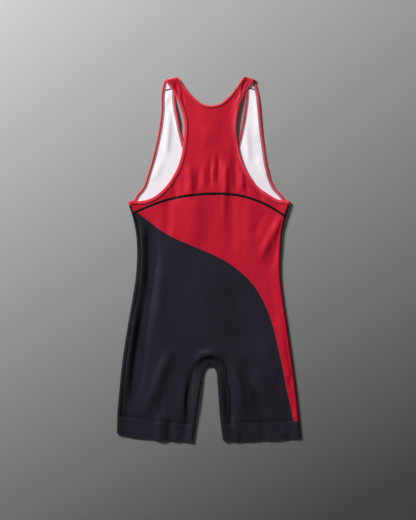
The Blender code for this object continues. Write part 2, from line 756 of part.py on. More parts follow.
def make_back_yoke(material):
    cloth = Cloth()
    half = SEAM_GAP / 2
    seam = yoke_seam(half)
    left = LEFT_STRIP.inner_line(SEAM_GAP)
    right = RIGHT_STRIP.inner_line(SEAM_GAP)
    left = left[1:][left[1:, 1] > seam[0, 1] + 2.0]
    right = right[:-1][right[:-1, 1] > seam[-1, 1] + 2.0]
    loop = [
        *left,
        *seam,
        *right,
        *back_edge(ARM_RIGHT),
        *back_edge(NECK_RIGHT)[:0:-1],
        *back_edge(NECK_LEFT),
        *back_edge(ARM_LEFT)[::-1],
    ]
    lines = LEFT_SHOULDER.lines(STRAP_STEP) + RIGHT_SHOULDER.lines(STRAP_STEP)
    cloth.fill(loop, YOKE_SPACING, lay_yoke, {}, lines)
    cloth.wall("back_yoke", material)


def make_back_panel(material):
    cloth = Cloth()
    half = SEAM_GAP / 2
    seam = yoke_seam(-half)
    left = LEFT_STRIP.inner_line(SEAM_GAP)
    right = RIGHT_STRIP.inner_line(SEAM_GAP)
    inner = INNER_STRIP.inner_line(SEAM_GAP)
    left_low, right_low = left[-1], right[0]
    left = left[left[:, 1] < seam[0, 1] - 2.0]
    right = right[right[:, 1] < seam[-1, 1] - 2.0]
    loop = [
        *left,
        *between(BAND_SEAM_LEFT, left_low, inner[0], half),
        *inner,
        *between(BAND_SEAM_RIGHT, inner[-1], right_low, half),
        *right,
        *seam[::-1],
    ]
    cloth.fill(loop, BACK_SPACING, lay_upper, {})
    cloth.wall("back_panel", material)


for old in list(bpy.data.objects):
    bpy.data.objects.remove(old)

LEFT_SHOULDER = Shoulder(*SHOULDER_LEFT)
RIGHT_SHOULDER = Shoulder(*SHOULDER_RIGHT)
LEFT_FOLD = Path(SIDE_LEFT)
RIGHT_FOLD = Path(SIDE_RIGHT)
INNER_FOLD = Path(INNER_LEGS)
FOLD_LINES = [
    fold.point(stations(0, fold.length, 6.0)) for fold in (LEFT_FOLD, RIGHT_FOLD, INNER_FOLD)
] + [np.array(shoulder.ends) for shoulder in (LEFT_SHOULDER, RIGHT_SHOULDER)]


def seam_end(curve, at_start):
    """The plan point at an end of a band seam, and the outward direction of the seam there."""
    path = Path(curve)
    inside = path.point(FOLD_RADIUS if at_start else path.length - FOLD_RADIUS)
    point = path.point(0.0 if at_start else path.length)
    return point, (point - inside) / np.linalg.norm(point - inside)


def strips():
    half = SEAM_GAP / 2
    left_point, left_way = seam_end(BAND_SEAM_LEFT, True)
    inner_left_point, inner_left_way = seam_end(BAND_SEAM_LEFT, False)
    inner_right_point, inner_right_way = seam_end(BAND_SEAM_RIGHT, True)
    right_point, right_way = seam_end(BAND_SEAM_RIGHT, False)
    underarm = ARMHOLE_BINDING_BACK + 1.5 * SEAM_GAP
    left_end = LEFT_FOLD.nearest(left_point) - half
    inner_start = INNER_FOLD.nearest(inner_left_point) + half
    inner_end = INNER_FOLD.nearest(inner_right_point) - half
    right_start = RIGHT_FOLD.nearest(right_point) + half
    parts, reaches = zip(*INNER_REACH)
    left = Strip(
        LEFT_FOLD,
        underarm,
        left_end,
        lambda share: np.full(len(share), SIDE_SEAM_LEFT),
        [(left_end, left_way)],
    )
    inner = Strip(
        INNER_FOLD,
        inner_start,
        inner_end,
        lambda share: np.interp(share, parts, reaches),
        [(inner_start, inner_left_way), (inner_end, inner_right_way)],
        INNER_ROW_STEP,
    )
    right = Strip(
        RIGHT_FOLD,
        right_start,
        RIGHT_FOLD.length - underarm,
        lambda share: np.full(len(share), SIDE_SEAM_RIGHT),
        [(right_start, right_way)],
    )
    return left, inner, right


LEFT_STRIP, INNER_STRIP, RIGHT_STRIP = strips()
LEFT_UNDERARM = Underarm(LEFT_FOLD, 0.0, 1)
RIGHT_UNDERARM = Underarm(RIGHT_FOLD, RIGHT_FOLD.length, -1)
ARM_WIDTHS = (ARMHOLE_BINDING_BACK, ARMHOLE_BINDING_FRONT)
NECK_WIDTHS = (NECK_BINDING_BACK, NECK_BINDING_FRONT)
ARM_LEFT = Edge(ARMHOLE_LEFT_BACK, ARMHOLE_LEFT_FRONT, LEFT_SHOULDER, 1, ARM_WIDTHS, LEFT_UNDERARM)
ARM_RIGHT = Edge(ARMHOLE_RIGHT_BACK, ARMHOLE_RIGHT_FRONT, RIGHT_SHOULDER, -1, ARM_WIDTHS, RIGHT_UNDERARM)
NECK_LEFT = Edge(NECK_LEFT_BACK, NECK_LEFT_FRONT, LEFT_SHOULDER, -1, NECK_WIDTHS)
NECK_RIGHT = Edge(NECK_RIGHT_BACK, NECK_RIGHT_FRONT, RIGHT_SHOULDER, 1, NECK_WIDTHS)

red = knit("red_knit", RED)
binding_red = knit("binding_red", BINDING_RED)
navy = knit("navy_knit", NAVY)

make_front_panel(red)
make_back_panel(navy)
make_back_yoke(red)
make_armhole_binding("armhole_binding_left", ARM_LEFT, binding_red)
make_armhole_binding("armhole_binding_right", ARM_RIGHT, binding_red)
make_neck_binding(binding_red)
make_leg_band("leg_band_left", BAND_SEAM_LEFT, HEM_LEFT, navy)
make_leg_band("leg_band_right", BAND_SEAM_RIGHT, HEM_RIGHT, navy)
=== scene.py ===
"""Looks of a wrestling singlet laid flat with its back up: knit shells, bound edges, seams and stitching.

Each shell follows the solid that it stands for, with a finer mesh and more creases. Tables and sizes are in
millimetres, with x to the right, y to the shoulders and z up. Objects are in metres.
"""

import math

import bmesh
import bpy
import numpy as np
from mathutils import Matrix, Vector
from mathutils.geometry import delaunay_2d_cdt


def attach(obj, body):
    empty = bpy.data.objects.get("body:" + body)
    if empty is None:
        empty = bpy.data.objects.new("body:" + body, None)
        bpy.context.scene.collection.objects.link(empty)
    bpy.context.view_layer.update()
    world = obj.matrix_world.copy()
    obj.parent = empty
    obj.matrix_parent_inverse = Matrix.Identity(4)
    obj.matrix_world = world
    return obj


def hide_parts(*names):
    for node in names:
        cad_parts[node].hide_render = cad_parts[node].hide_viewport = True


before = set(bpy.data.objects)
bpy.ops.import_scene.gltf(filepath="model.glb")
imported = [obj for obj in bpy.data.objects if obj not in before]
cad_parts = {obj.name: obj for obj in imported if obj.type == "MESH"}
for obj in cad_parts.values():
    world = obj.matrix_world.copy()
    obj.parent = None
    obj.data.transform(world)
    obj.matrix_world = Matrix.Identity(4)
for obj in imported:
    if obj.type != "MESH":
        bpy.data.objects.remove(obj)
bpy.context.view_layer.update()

MM = 0.001
BODY = "root"

# Layers and folds, as in the solids
LOW = 0.6
HIGH = 2.9
FOLD_RADIUS = 2.4
FOLD_TOP = LOW + 2 * FOLD_RADIUS
FOLD_FALL = 22.0

# The shown cloth, measured from the middle of the solid's wall
OUTWARD = 0.6
INWARD = 0.2
BINDING_UP = 1.4
BINDING_DOWN = 0.6
BINDING_ROUND = 1.2
STITCH_IN = 1.6
STITCH_GROOVE = 0.5
STITCH_GROOVE_WIDTH = 0.9

# Side seams: length down from the underarm, distance over the cloth from the top of the fold
SIDE_SEAM_LEFT = ((0.0, -0.8), (26.0, -0.6), (48.0, 2.0), (80.0, 3.6))
SIDE_SEAM_RIGHT = ((0.0, -0.8), (32.0, -1.1), (60.0, -2.0), (100.0, -3.2), (130.0, -4.6), (200.0, -5.0))
SIDE_MARGIN = 2.0
SHOULDER_SEAM = 18.0
ARMHOLE_BINDING_BACK = 9.0
ARMHOLE_BINDING_FRONT = 4.8
NECK_BINDING_BACK = 6.6
NECK_BINDING_FRONT = 4.8
SEAM_GAP = 0.06

# How the folds' radius changes along them
LEFT_FULLER = 0.9
LEFT_FULL_AT = 300.0
LEFT_FULL_REACH = 110.0
CROTCH_LOWER = 1.3
CROTCH_REACH = 30.0
LEG_FULLER = 0.8
LEG_FULL_OFF = 85.0
LEG_FULL_REACH = 30.0

# Fineness of the meshes
FOLD_STEPS = 12
FOLD_LEVELS = [math.pi * FOLD_RADIUS * step / FOLD_STEPS for step in range(FOLD_STEPS + 1)]
SHOULDER_SPAN = 40.0
ROW_STEP = 3.0
BINDING_STEP = 2.0
FRONT_SPACING = 4.0
BACK_SPACING = 2.6
YOKE_SPACING = 2.1
STRAP_STEP = 2.0
BAND_ROWS = 18
BAND_COLUMNS = 76
SEAM_BLEND = 40.0
POINTS_AT_ONCE = 1500
UNDERARM_BLEND = 30.0
UNDERARM_LEAD = 7.0

# Folds down the sides, x and y: the left from underarm to hem, the right from hem to underarm
SIDE_LEFT = (
    (-176.6, 126.0), (-173.2, 115.5), (-168.0, 100.0), (-159.5, 62.0), (-156.3, 18.0),
    (-159.3, -38.0), (-167.0, -89.0), (-178.6, -157.0), (-189.2, -228.0), (-195.5, -290.0),
    (-200.2, -346.0), (-200.9, -382.0),
)
SIDE_RIGHT = (
    (200.9, -390.0), (197.4, -354.0), (193.2, -310.0), (186.0, -253.0), (178.6, -199.0),
    (169.6, -135.0), (161.7, -82.0), (156.8, -38.0), (157.3, 20.0), (161.5, 66.0), (169.6, 97.0),
    (175.7, 116.5), (179.0, 127.0),
)
# Fold inside the legs, x and y: up the left leg, round the crotch and down the right leg
INNER_LEGS = (
    (-35.0, -399.0), (-29.5, -361.0), (-22.5, -312.0), (-16.5, -276.0), (-12.0, -252.0), (-5.0, -239.0),
    (4.0, -235.5), (12.5, -238.0), (17.5, -247.0), (20.0, -270.0), (22.5, -303.0), (27.0, -359.0),
    (32.3, -396.0),
)
# Reach of the front round the inner leg to its seam: part of the way from band to band, reach
INNER_REACH = (
    (0.0, 12.5), (0.12, 21.0), (0.22, 26.0), (0.32, 25.0), (0.42, 24.5), (0.50, 28.0), (0.57, 22.5),
    (0.64, 19.5), (0.76, 24.0), (0.88, 22.0), (1.0, 19.0),
)
# Shoulder folds, x and y of the neck end and the arm end
SHOULDER_LEFT = ((-66.0, 400.8), (-100.0, 391.7))
SHOULDER_RIGHT = ((75.0, 401.6), (107.0, 393.2))
# Armholes, x and y from the underarm to the shoulder on the back, then from the shoulder down on the front
ARMHOLE_LEFT_BACK = (
    (-152.0, 128.2), (-124.3, 135.5), (-96.1, 158.0), (-76.3, 186.1), (-63.8, 214.3), (-55.6, 256.0),
    (-53.5, 298.3), (-61.4, 332.4), (-75.5, 363.4), (-90.5, 386.5),
)
ARMHOLE_LEFT_FRONT = (
    (-102.6, 372.0), (-104.2, 326.5), (-108.5, 290.0), (-116.0, 252.0), (-125.4, 214.3), (-134.8, 184.0),
    (-144.0, 158.5), (-157.0, 142.5),
)
ARMHOLE_RIGHT_BACK = (
    (156.0, 130.8), (131.3, 143.9), (111.5, 158.0), (89.1, 186.1), (75.2, 214.3), (64.5, 256.0),
    (61.2, 298.3), (67.3, 332.4), (80.5, 364.0), (96.0, 388.0),
)
ARMHOLE_RIGHT_FRONT = (
    (109.8, 368.0), (113.6, 338.0), (117.3, 298.3), (124.3, 242.2), (131.3, 200.2), (139.0, 173.0),
    (148.5, 155.0), (163.0, 140.5),
)
# Neck, x and y: the back from its middle to the shoulder, the front from the shoulder to its middle
NECK_LEFT_BACK = ((7.0, 337.7), (-9.0, 340.2), (-27.0, 352.0), (-48.4, 374.2), (-60.5, 390.5))
NECK_LEFT_FRONT = (
    (-72.6, 371.0), (-72.6, 347.0), (-70.0, 327.0), (-65.0, 304.0), (-58.0, 274.0), (-50.0, 243.0),
    (-36.0, 209.0), (-15.0, 186.0), (7.0, 179.5),
)
NECK_RIGHT_BACK = ((7.0, 337.7), (25.0, 342.2), (44.2, 357.3), (58.3, 374.2), (68.5, 389.0))
NECK_RIGHT_FRONT = (
    (82.0, 371.0), (81.0, 352.0), (78.0, 327.0), (73.7, 298.3), (66.0, 263.0), (54.0, 226.0),
    (36.0, 196.0), (21.0, 184.0), (7.0, 179.5),
)
# Curved seam between yoke and lower back, x and y between the side folds
YOKE_SEAM = (
    (-132.4, 115.9), (-90.4, 131.0), (-42.7, 140.2), (18.0, 144.3), (64.0, 141.0), (100.3, 131.3),
    (134.0, 116.5),
)
YOKE_SEAM_LEFT_Y = 99.5
YOKE_SEAM_RIGHT_Y = 96.5
# Seams above the leg bands and the hems below them, x and y
BAND_SEAM_LEFT = ((-200.0, -343.5), (-150.7, -349.5), (-106.7, -357.0), (-68.0, -361.0), (-29.6, -362.0))
BAND_SEAM_RIGHT = ((27.2, -361.2), (72.0, -360.4), (117.7, -358.5), (160.0, -356.6), (197.5, -355.0))
HEM_LEFT = ((-200.8, -382.0), (-177.1, -389.5), (-123.0, -395.4), (-70.0, -399.6), (-35.2, -399.6))
HEM_RIGHT = ((32.4, -397.5), (62.0, -400.2), (102.3, -399.5), (160.0, -397.2), (200.8, -390.0))
# Where the red of the body ends and the navy starts, x and y from the left side down to the right leg
COLOUR_LINE = (
    (-164.0, 106.0), (-158.0, 103.0), (-132.0, 84.0), (-105.0, 64.0), (-76.0, 47.0), (-48.0, 35.0),
    (-20.0, 23.0), (8.0, 11.0), (37.0, -4.0), (63.0, -22.0), (84.0, -40.0), (102.0, -61.0),
    (116.0, -84.0), (131.0, -116.0), (143.0, -152.0), (152.0, -190.0), (161.0, -231.0),
    (169.0, -273.0), (178.0, -314.0), (186.0, -354.0), (187.0, -360.0),
)
COLOUR_STEP = 2.5

# Broad swellings of the upper layer: x, y, reach along x, reach along y, height
SWELLINGS = (
    (20.0, 186.0, 62.0, 70.0, 2.0),
    (6.0, 296.0, 50.0, 84.0, 3.0),
    (-78.0, 46.0, 50.0, 90.0, 1.7),
    (118.0, 40.0, 50.0, 70.0, 2.4),
    (-104.0, -150.0, 40.0, 130.0, 2.6),
    (60.0, -190.0, 110.0, 90.0, 1.6),
    (96.0, -286.0, 50.0, 56.0, 4.4),
    (-110.0, -310.0, 54.0, 60.0, 1.6),
    (-166.0, -130.0, 14.0, 150.0, 0.8),
)
# Creases of the upper layer: x and y of the start, x and y of the end, how far the middle bows to the
# left of the way, half widths to the left and to the right of the way, height, negative for a trough
CREASES = (
    # the yoke, drawn in above the curved seam
    (21.0, 242.0, 21.0, 154.0, 1.0, 5.0, 5.0, -2.6),
    (6.0, 236.0, 5.0, 146.0, -1.0, 4.5, 5.5, -1.9),
    (54.0, 252.0, 60.0, 138.0, 2.0, 6.5, 7.0, -2.6),
    (38.0, 224.0, 38.0, 128.0, 0.0, 6.5, 6.5, 3.0),
    (73.0, 200.0, 75.0, 146.0, 0.0, 4.5, 5.0, 2.0),
    (-44.0, 218.0, -40.0, 128.0, 2.0, 8.0, 10.0, 3.8),
    (-72.0, 190.0, -74.0, 118.0, 0.0, 7.0, 7.0, -2.2),
    (100.0, 184.0, 119.0, 122.0, 1.0, 5.0, 6.0, -2.8),
    (-77.0, 172.0, -66.0, 160.0, 0.0, 3.0, 3.0, -1.3),
    (9.0, 206.0, 9.5, 168.0, 0.0, 3.0, 3.0, 1.5),
    (-11.0, 214.0, -11.0, 150.0, 1.0, 5.0, 5.0, 1.4),
    (-23.0, 204.0, -24.0, 146.0, 1.0, 4.5, 5.0, -1.5),
    (82.0, 176.0, 86.0, 138.0, 0.0, 3.5, 4.0, -1.1),
    (-8.0, 300.0, -10.0, 236.0, 3.0, 13.0, 12.0, 1.0),
    (30.0, 310.0, 33.0, 236.0, -2.0, 12.0, 12.0, -0.9),
    # the straps, by the shoulders
    (-74.0, 392.0, -66.0, 356.0, 1.0, 2.6, 3.0, -1.7),
    (-68.0, 388.0, -60.0, 352.0, 1.0, 2.4, 2.4, 1.3),
    (-61.0, 374.0, -53.0, 338.0, 1.0, 2.4, 3.0, -1.5),
    (-84.0, 386.0, -72.0, 352.0, 1.0, 2.4, 2.6, 1.0),
    (82.0, 394.0, 73.0, 366.0, -1.0, 2.6, 2.6, -1.6),
    (77.0, 392.0, 66.0, 358.0, -1.0, 2.4, 2.4, 1.4),
    (72.0, 380.0, 60.0, 344.0, -1.0, 2.8, 2.8, -1.7),
    (66.0, 384.0, 57.0, 358.0, -1.0, 2.2, 2.2, -1.3),
    (90.0, 388.0, 78.0, 356.0, -1.0, 2.4, 2.4, -1.2),
    (74.0, 384.0, 59.0, 250.0, -5.0, 7.0, 9.0, 3.0),
    # the lower back, below the curved seam
    (-36.0, 176.0, -30.0, 6.0, 3.0, 18.0, 26.0, 3.2),
    (-86.0, 164.0, -92.0, 28.0, 0.0, 10.0, 10.0, -2.4),
    (34.0, 172.0, 34.0, 70.0, 0.0, 7.0, 6.0, 1.2),
    (50.0, 176.0, 52.0, -6.0, 0.0, 10.0, 11.0, -2.0),
    (88.0, 160.0, 90.0, 0.0, 0.0, 13.0, 13.0, 1.8),
    (8.0, 160.0, 12.0, 50.0, 0.0, 8.0, 8.0, -0.4),
    (170.0, 106.0, 108.0, -14.0, -3.0, 9.0, 10.0, 3.3),
    (168.0, 96.0, 134.0, -30.0, 3.0, 8.0, 9.0, -2.4),
    (128.0, 112.0, 96.0, 40.0, -2.0, 9.0, 9.0, -1.3),
    # the sides and the legs
    (-148.0, 116.0, -153.0, -110.0, 5.0, 9.0, 8.0, 3.8),
    (-127.0, 112.0, -132.0, -126.0, 6.0, 14.0, 10.0, -4.2),
    (-145.0, -50.0, -186.0, -340.0, -5.0, 11.0, 8.0, 4.0),
    (-122.0, -40.0, -166.0, -344.0, -7.0, 14.0, 11.0, -5.2),
    (-100.0, 10.0, -112.0, -170.0, -4.0, 14.0, 13.0, 2.6),
    (-6.0, 40.0, -20.0, -250.0, 3.0, 46.0, 60.0, 4.2),
    (66.0, -30.0, 76.0, -230.0, 3.0, 22.0, 26.0, -2.4),
    (-124.0, -320.0, -78.0, -190.0, 5.0, 12.0, 14.0, 4.2),
    (-138.0, -344.0, -124.0, -282.0, 0.0, 9.0, 10.0, 1.7),
    (-104.0, -346.0, -100.0, -290.0, 1.0, 8.0, 8.0, -1.4),
    (-30.0, -226.0, -44.0, -378.0, -5.0, 4.5, 9.0, -4.0),
    (-46.0, -240.0, -55.0, -384.0, -3.0, 6.0, 17.0, 3.2),
    (44.0, -214.0, 82.0, -352.0, 4.0, 10.0, 12.0, 4.6),
    (66.0, -210.0, 124.0, -360.0, 6.0, 13.0, 12.0, -4.2),
    (34.0, -230.0, 50.0, -380.0, 4.0, 8.0, 9.0, -3.8),
    (113.0, -170.0, 156.0, -280.0, 3.0, 12.0, 13.0, 3.0),
    (86.0, -90.0, 120.0, -220.0, -4.0, 13.0, 13.0, -1.4),
    (172.0, -256.0, 192.0, -292.0, 0.0, 5.0, 5.0, -2.6),
    (182.0, -316.0, 192.0, -350.0, 0.0, 4.0, 5.0, -1.6),
    (148.0, -116.0, 181.0, -330.0, 0.0, 12.0, 14.0, 3.0),
    (174.0, -226.0, 182.0, -262.0, 0.0, 4.0, 4.0, 1.6),
    (158.0, -70.0, 170.0, -108.0, 0.0, 5.0, 5.0, 2.0),
    (160.0, -94.0, 178.0, -160.0, 0.0, 5.0, 6.0, -2.8),
    (-83.0, -336.0, -86.0, -420.0, 0.0, 5.0, 9.0, -2.0),
    (-70.0, -340.0, -70.0, -414.0, 0.0, 7.0, 5.0, 1.4),
    (-104.0, -330.0, -109.0, -424.0, 0.0, 18.0, 9.0, 3.8),
    (-52.0, -352.0, -48.0, -400.0, 0.0, 5.0, 5.0, -1.5),
    (-17.0, -214.0, -6.0, -241.0, 0.0, 2.4, 2.4, -1.5),
    (-5.0, -209.0, 0.0, -238.0, 0.0, 2.2, 2.4, 1.3),
    (8.0, -208.0, 6.0, -238.0, 0.0, 2.6, 2.2, -1.5),
    (18.0, -211.0, 12.0, -240.0, 0.0, 2.2, 2.4, 1.2),
    (27.0, -219.0, 17.0, -246.0, 0.0, 2.6, 2.4, -1.4),
    (54.0, -336.0, 66.0, -414.0, 1.0, 6.0, 8.0, 2.2),
    (118.0, -342.0, 126.0, -416.0, 0.0, 9.0, 9.0, -2.0),
    (164.0, -360.0, 172.0, -396.0, 0.0, 8.0, 8.0, 1.2),
)
CREASE_CALM = 7.0
LOWEST = 1.7
# The upper layer stays clear of the front's neck binding below it
NECK_LIFT = 1.3
NECK_LIFT_REACH = 16.0
NECK_FRONT_LINE = (*NECK_LEFT_FRONT[3:], *NECK_RIGHT_FRONT[-2:2:-1])
CREASE_FADE = 0.36
# Soft folds of the lower layer where the armholes show it: the same columns as the creases
LOWER_CREASES = (
    (-84.0, 344.0, -94.0, 214.0, 0.0, 6.0, 9.0, 2.4),
    (-97.0, 340.0, -108.0, 250.0, 0.0, 6.0, 7.0, 1.2),
    (-73.0, 392.0, -60.0, 268.0, -3.0, 6.0, 6.0, 4.6),
    (-84.0, 372.0, -96.0, 336.0, 0.0, 4.0, 4.0, 1.0),
    (-98.0, 230.0, -126.0, 168.0, 2.0, 8.0, 8.0, 1.1),
    (103.0, 376.0, 110.0, 250.0, 3.0, 6.0, 8.0, 1.5),
    (82.0, 308.0, 90.0, 200.0, 0.0, 6.0, 7.0, 1.4),
    (108.0, 240.0, 134.0, 168.0, -3.0, 7.0, 7.0, 1.3),
)
LOWER_COVER = 12.0

# Stitching
CROTCH_RIDGE = 5.4
CROTCH_RIDGE_REACH = 34.0
CROTCH_RIDGE_PANEL = 12.0
CROTCH_RIDGE_STRIP = 6.5
SEAM_DIP = 0.55
SEAM_DIP_WIDTH = 2.2
PUCKER_HEIGHT = 0.16
PUCKER_REACH = 7.0
PUCKER_LENGTH = 8.0
BED_HEIGHT = 0.3
FLATLOCK_WIDTH = 5.6
SIDE_FLATLOCK_WIDTH = 3.8
INSEAM_FLATLOCK_WIDTH = 3.0
SHOULDER_FLATLOCK_WIDTH = 3.0
TOPSTITCH_WIDTH = 1.6
INNER_STITCH_WIDTH = 1.2
BINDING_LIFT = 0.0
COVER_WIDTH = 2.4
COVER_IN = 1.6
BAND_STITCH_UP = 6.0
FLATLOCK_PITCH = 1.5
THREAD = 0.22
THREAD_SIDES = 5
STITCH_LENGTH = 2.4
STITCH_DEPTH = 0.28

# Colours as linear RGB
RED = (0.53, 0.0066, 0.0275)
BINDING_RED = (0.75, 0.034, 0.062)
NAVY = (0.0158, 0.0130, 0.0222)
INSIDE = (0.93, 0.872, 0.935)
BLACK_THREAD = (0.005, 0.006, 0.007)
# The binding's topstitch thread is painted darker than the binding: real stitching that also carries the painted
# shade of the groove beside the binding's seam.
RED_THREAD_WITH_GROOVE_SHADE = (0.29, 0.007, 0.018)
PINK_THREAD = (0.52, 0.10, 0.13)
GREY_THREAD = (0.56, 0.42, 0.46)
SEAM_THREAD = (0.20, 0.18, 0.19)
NAVY_THREAD = (0.010, 0.009, 0.014)


class Path:
    """A smooth plan curve through a few points, read by the length along it."""

    def __init__(self, points):
        points = np.array(points, dtype=float)
        gaps = np.linalg.norm(np.diff(points, axis=0), axis=1)
        slopes = np.diff(points, axis=0) / gaps[:, None]
        tangents = np.empty_like(points)
        weight = (gaps[:-1] / (gaps[:-1] + gaps[1:]))[:, None]
        tangents[1:-1] = slopes[:-1] * (1 - weight) + slopes[1:] * weight
        tangents[0] = 1.5 * slopes[0] - 0.5 * tangents[1]
        tangents[-1] = 1.5 * slopes[-1] - 0.5 * tangents[-2]
        pieces = []
        for i, gap in enumerate(gaps):
            t = np.linspace(0, 1, 24, endpoint=False)[:, None]
            rise = t * t * (3 - 2 * t)
            pieces.append(
                points[i] * (1 - rise)
                + points[i + 1] * rise
                + tangents[i] * gap * t * (1 - t) ** 2
                - tangents[i + 1] * gap * t * t * (1 - t)
            )
        self.line = np.vstack(pieces + [points[-1:]])
        steps = np.linalg.norm(np.diff(self.line, axis=0), axis=1)
        self.along = np.concatenate(([0.0], np.cumsum(steps)))
        self.length = self.along[-1]

    def point(self, s):
        return np.stack([np.interp(s, self.along, self.line[:, k]) for k in (0, 1)], axis=-1)

    def right(self, s):
        """The unit vector to the right of the direction of travel."""
        s = np.clip(s, 1.0, self.length - 1.0)
        way = self.point(s + 1.0) - self.point(s - 1.0)
        way = way / np.linalg.norm(way, axis=-1, keepdims=True)
        return np.stack([way[..., 1], -way[..., 0]], axis=-1)

    def nearest(self, point):
        every = np.linspace(0, self.length, 20000)
        return every[np.argmin(np.linalg.norm(self.point(every) - np.array(point), axis=1))]


class Shoulder:
    """The straight fold of a strap. The front's plan is opened out past it, so a strap is one ribbon."""

    def __init__(self, neck_end, arm_end):
        neck_end, arm_end = np.array(neck_end), np.array(arm_end)
        way = (neck_end - arm_end) / np.linalg.norm(neck_end - arm_end)
        out = np.array((-way[1], way[0]))
        self.out = out if out[1] > 0 else -out
        self.axis = neck_end - self.out * FOLD_RADIUS
        self.ends = (neck_end, arm_end)

    def beyond(self, plan):
        return (np.asarray(plan) - self.axis) @ self.out

    def open_out(self, points):
        points = np.array(points, dtype=float)
        inside = -self.beyond(points)
        return points + np.outer(2 * inside + math.pi * FOLD_RADIUS, self.out)

    def lines(self, step):
        """Rows of plan points along the fold, one for each step round it."""
        along = (self.ends[1] - self.ends[0]) / np.linalg.norm(self.ends[1] - self.ends[0])
        row = self.axis + np.outer(np.arange(-step, SHOULDER_SPAN, step), along)
        return [row + level * self.out for level in FOLD_LEVELS]

    def lay(self, plan):
        """Places, outward normals and how far each point has turned to the lower layer, from 0 to 1."""
        beyond = self.beyond(plan)
        turned = np.clip(beyond / (math.pi * FOLD_RADIUS), 0, 1)
        angle = turned * math.pi
        foot = plan - np.outer(beyond, self.out)
        under = np.maximum(beyond - math.pi * FOLD_RADIUS, 0)
        across = np.where(beyond < 0, beyond, FOLD_RADIUS * np.sin(angle) - under)
        flat = foot + np.outer(across, self.out)
        height = LOW + FOLD_RADIUS * (1 + np.cos(angle))
        places = np.column_stack((flat, height))
        normals = np.column_stack((np.outer(np.sin(angle), self.out), np.cos(angle)))
        low, low_normals, _ = lay_lower(flat)
        is_low = (under > 0)[:, None]
        places, normals = np.where(is_low, low, places), np.where(is_low, low_normals, normals)
        top, top_normals, _ = lay_upper(plan)
        on_top = (beyond < 0)[:, None]
        return np.where(on_top, top, places), np.where(on_top, top_normals, normals), turned


def smooth_step(value):
    value = np.clip(value, 0, 1)
    return value * value * (3 - 2 * value)


def wave(value, seed):
    """A gentle wave that doesn't repeat, about -1 to 1, one swing for each whole number."""
    turns = 2 * math.pi * np.asarray(value)
    return (
        0.55 * np.sin(turns + seed)
        + 0.30 * np.sin(0.43 * turns + 2.3 * seed)
        + 0.25 * np.sin(1.71 * turns + 4.1 * seed)
    )


def line_distance(points, line):
    return abs(line_reading(points, line)[0])


def line_reading(points, line):
    """The distance of each point from a row of straight pieces, negative to their right, and the length
    along them to the foot."""
    points, line = np.asarray(points, dtype=float), np.asarray(line, dtype=float)
    start_x, start_y = line[:-1].T
    way_x, way_y = np.diff(line, axis=0).T
    lengths = np.hypot(way_x, way_y)
    gone = np.concatenate(([0.0], np.cumsum(lengths)[:-1]))
    near, along = np.empty(len(points)), np.empty(len(points))
    for first in range(0, len(points), POINTS_AT_ONCE):
        x, y = points[first : first + POINTS_AT_ONCE].T
        off_x, off_y = x[:, None] - start_x, y[:, None] - start_y
        share = np.clip((off_x * way_x + off_y * way_y) / lengths**2, 0, 1)
        away = np.hypot(off_x - share * way_x, off_y - share * way_y)
        every, best = np.arange(len(x)), np.argmin(away, axis=1)
        turn = way_x[best] * off_y[every, best] - way_y[best] * off_x[every, best]
        near[first : first + len(x)] = np.where(turn < 0, -1.0, 1.0) * away[every, best]
        along[first : first + len(x)] = gone[best] + share[every, best] * lengths[best]
    return near, along


def crease_height(plan, creases):
    """The height of the creases of a table at each plan point."""
    total = np.zeros(len(plan))
    for x0, y0, x1, y1, bow, left, right, height in creases:
        start, way = np.array((x0, y0)), np.array((x1 - x0, y1 - y0))
        length = np.linalg.norm(way)
        way = way / length
        share = ((plan - start) @ way) / length
        off = (plan - start) @ np.array((-way[1], way[0]))
        off = off - bow * 4 * share * (1 - share)
        width = np.where(off > 0, left, right)
        window = smooth_step(share / CREASE_FADE) * smooth_step((1 - share) / CREASE_FADE)
        total += height * window * np.exp(-((off / width) ** 2))
    return total


def swelling(plan):
    total = crease_height(plan, CREASES)
    for x, y, reach_x, reach_y, height in SWELLINGS:
        apart = ((plan[:, 0] - x) / reach_x) ** 2 + ((plan[:, 1] - y) / reach_y) ** 2
        total += height * np.exp(-1.5 * apart)
    total += 0.18 * wave(plan[:, 0] / 74 + plan[:, 1] / 210, 1.0) * wave(plan[:, 1] / 120, 2.0)
    total += 0.10 * wave(plan[:, 0] / 31 - plan[:, 1] / 83, 3.0)
    lowest = np.full(len(plan), LOWEST)
    under = np.flatnonzero((abs(plan[:, 0]) < 90) & (plan[:, 1] < 260) & (plan[:, 1] > 160))
    away = line_distance(plan[under], NECK_FRONT_LINE)
    lowest[under] -= NECK_LIFT * (1 - smooth_step(away / NECK_LIFT_REACH))
    room = np.maximum(total + lowest, 0)
    return room**2 / (room + 0.3) - lowest


def seam_relief(plan):
    """The dip along each seam of the upper layer, and the small puckers beside it."""
    total = np.zeros(len(plan))
    for number, line in enumerate(SEAM_LINES):
        reach = 3 * PUCKER_REACH
        near = np.all((plan > line.min(axis=0) - reach) & (plan < line.max(axis=0) + reach), axis=1)
        if not near.any():
            continue
        away, along = line_reading(plan[near], line)
        pucker = wave(along / PUCKER_LENGTH, number) * np.exp(-((away / PUCKER_REACH) ** 2))
        dip = SEAM_DIP * np.exp(-((away / SEAM_DIP_WIDTH) ** 2))
        total[near] += PUCKER_HEIGHT * pucker - dip
        if number == INSEAM_NUMBER:
            off = (along - INSEAM.length / 2) / CROTCH_RIDGE_REACH
            width = np.where(away > 0, CROTCH_RIDGE_PANEL, CROTCH_RIDGE_STRIP)
            total[near] += CROTCH_RIDGE * np.exp(-(off**2)) * np.exp(-((away / width) ** 2))
    return total


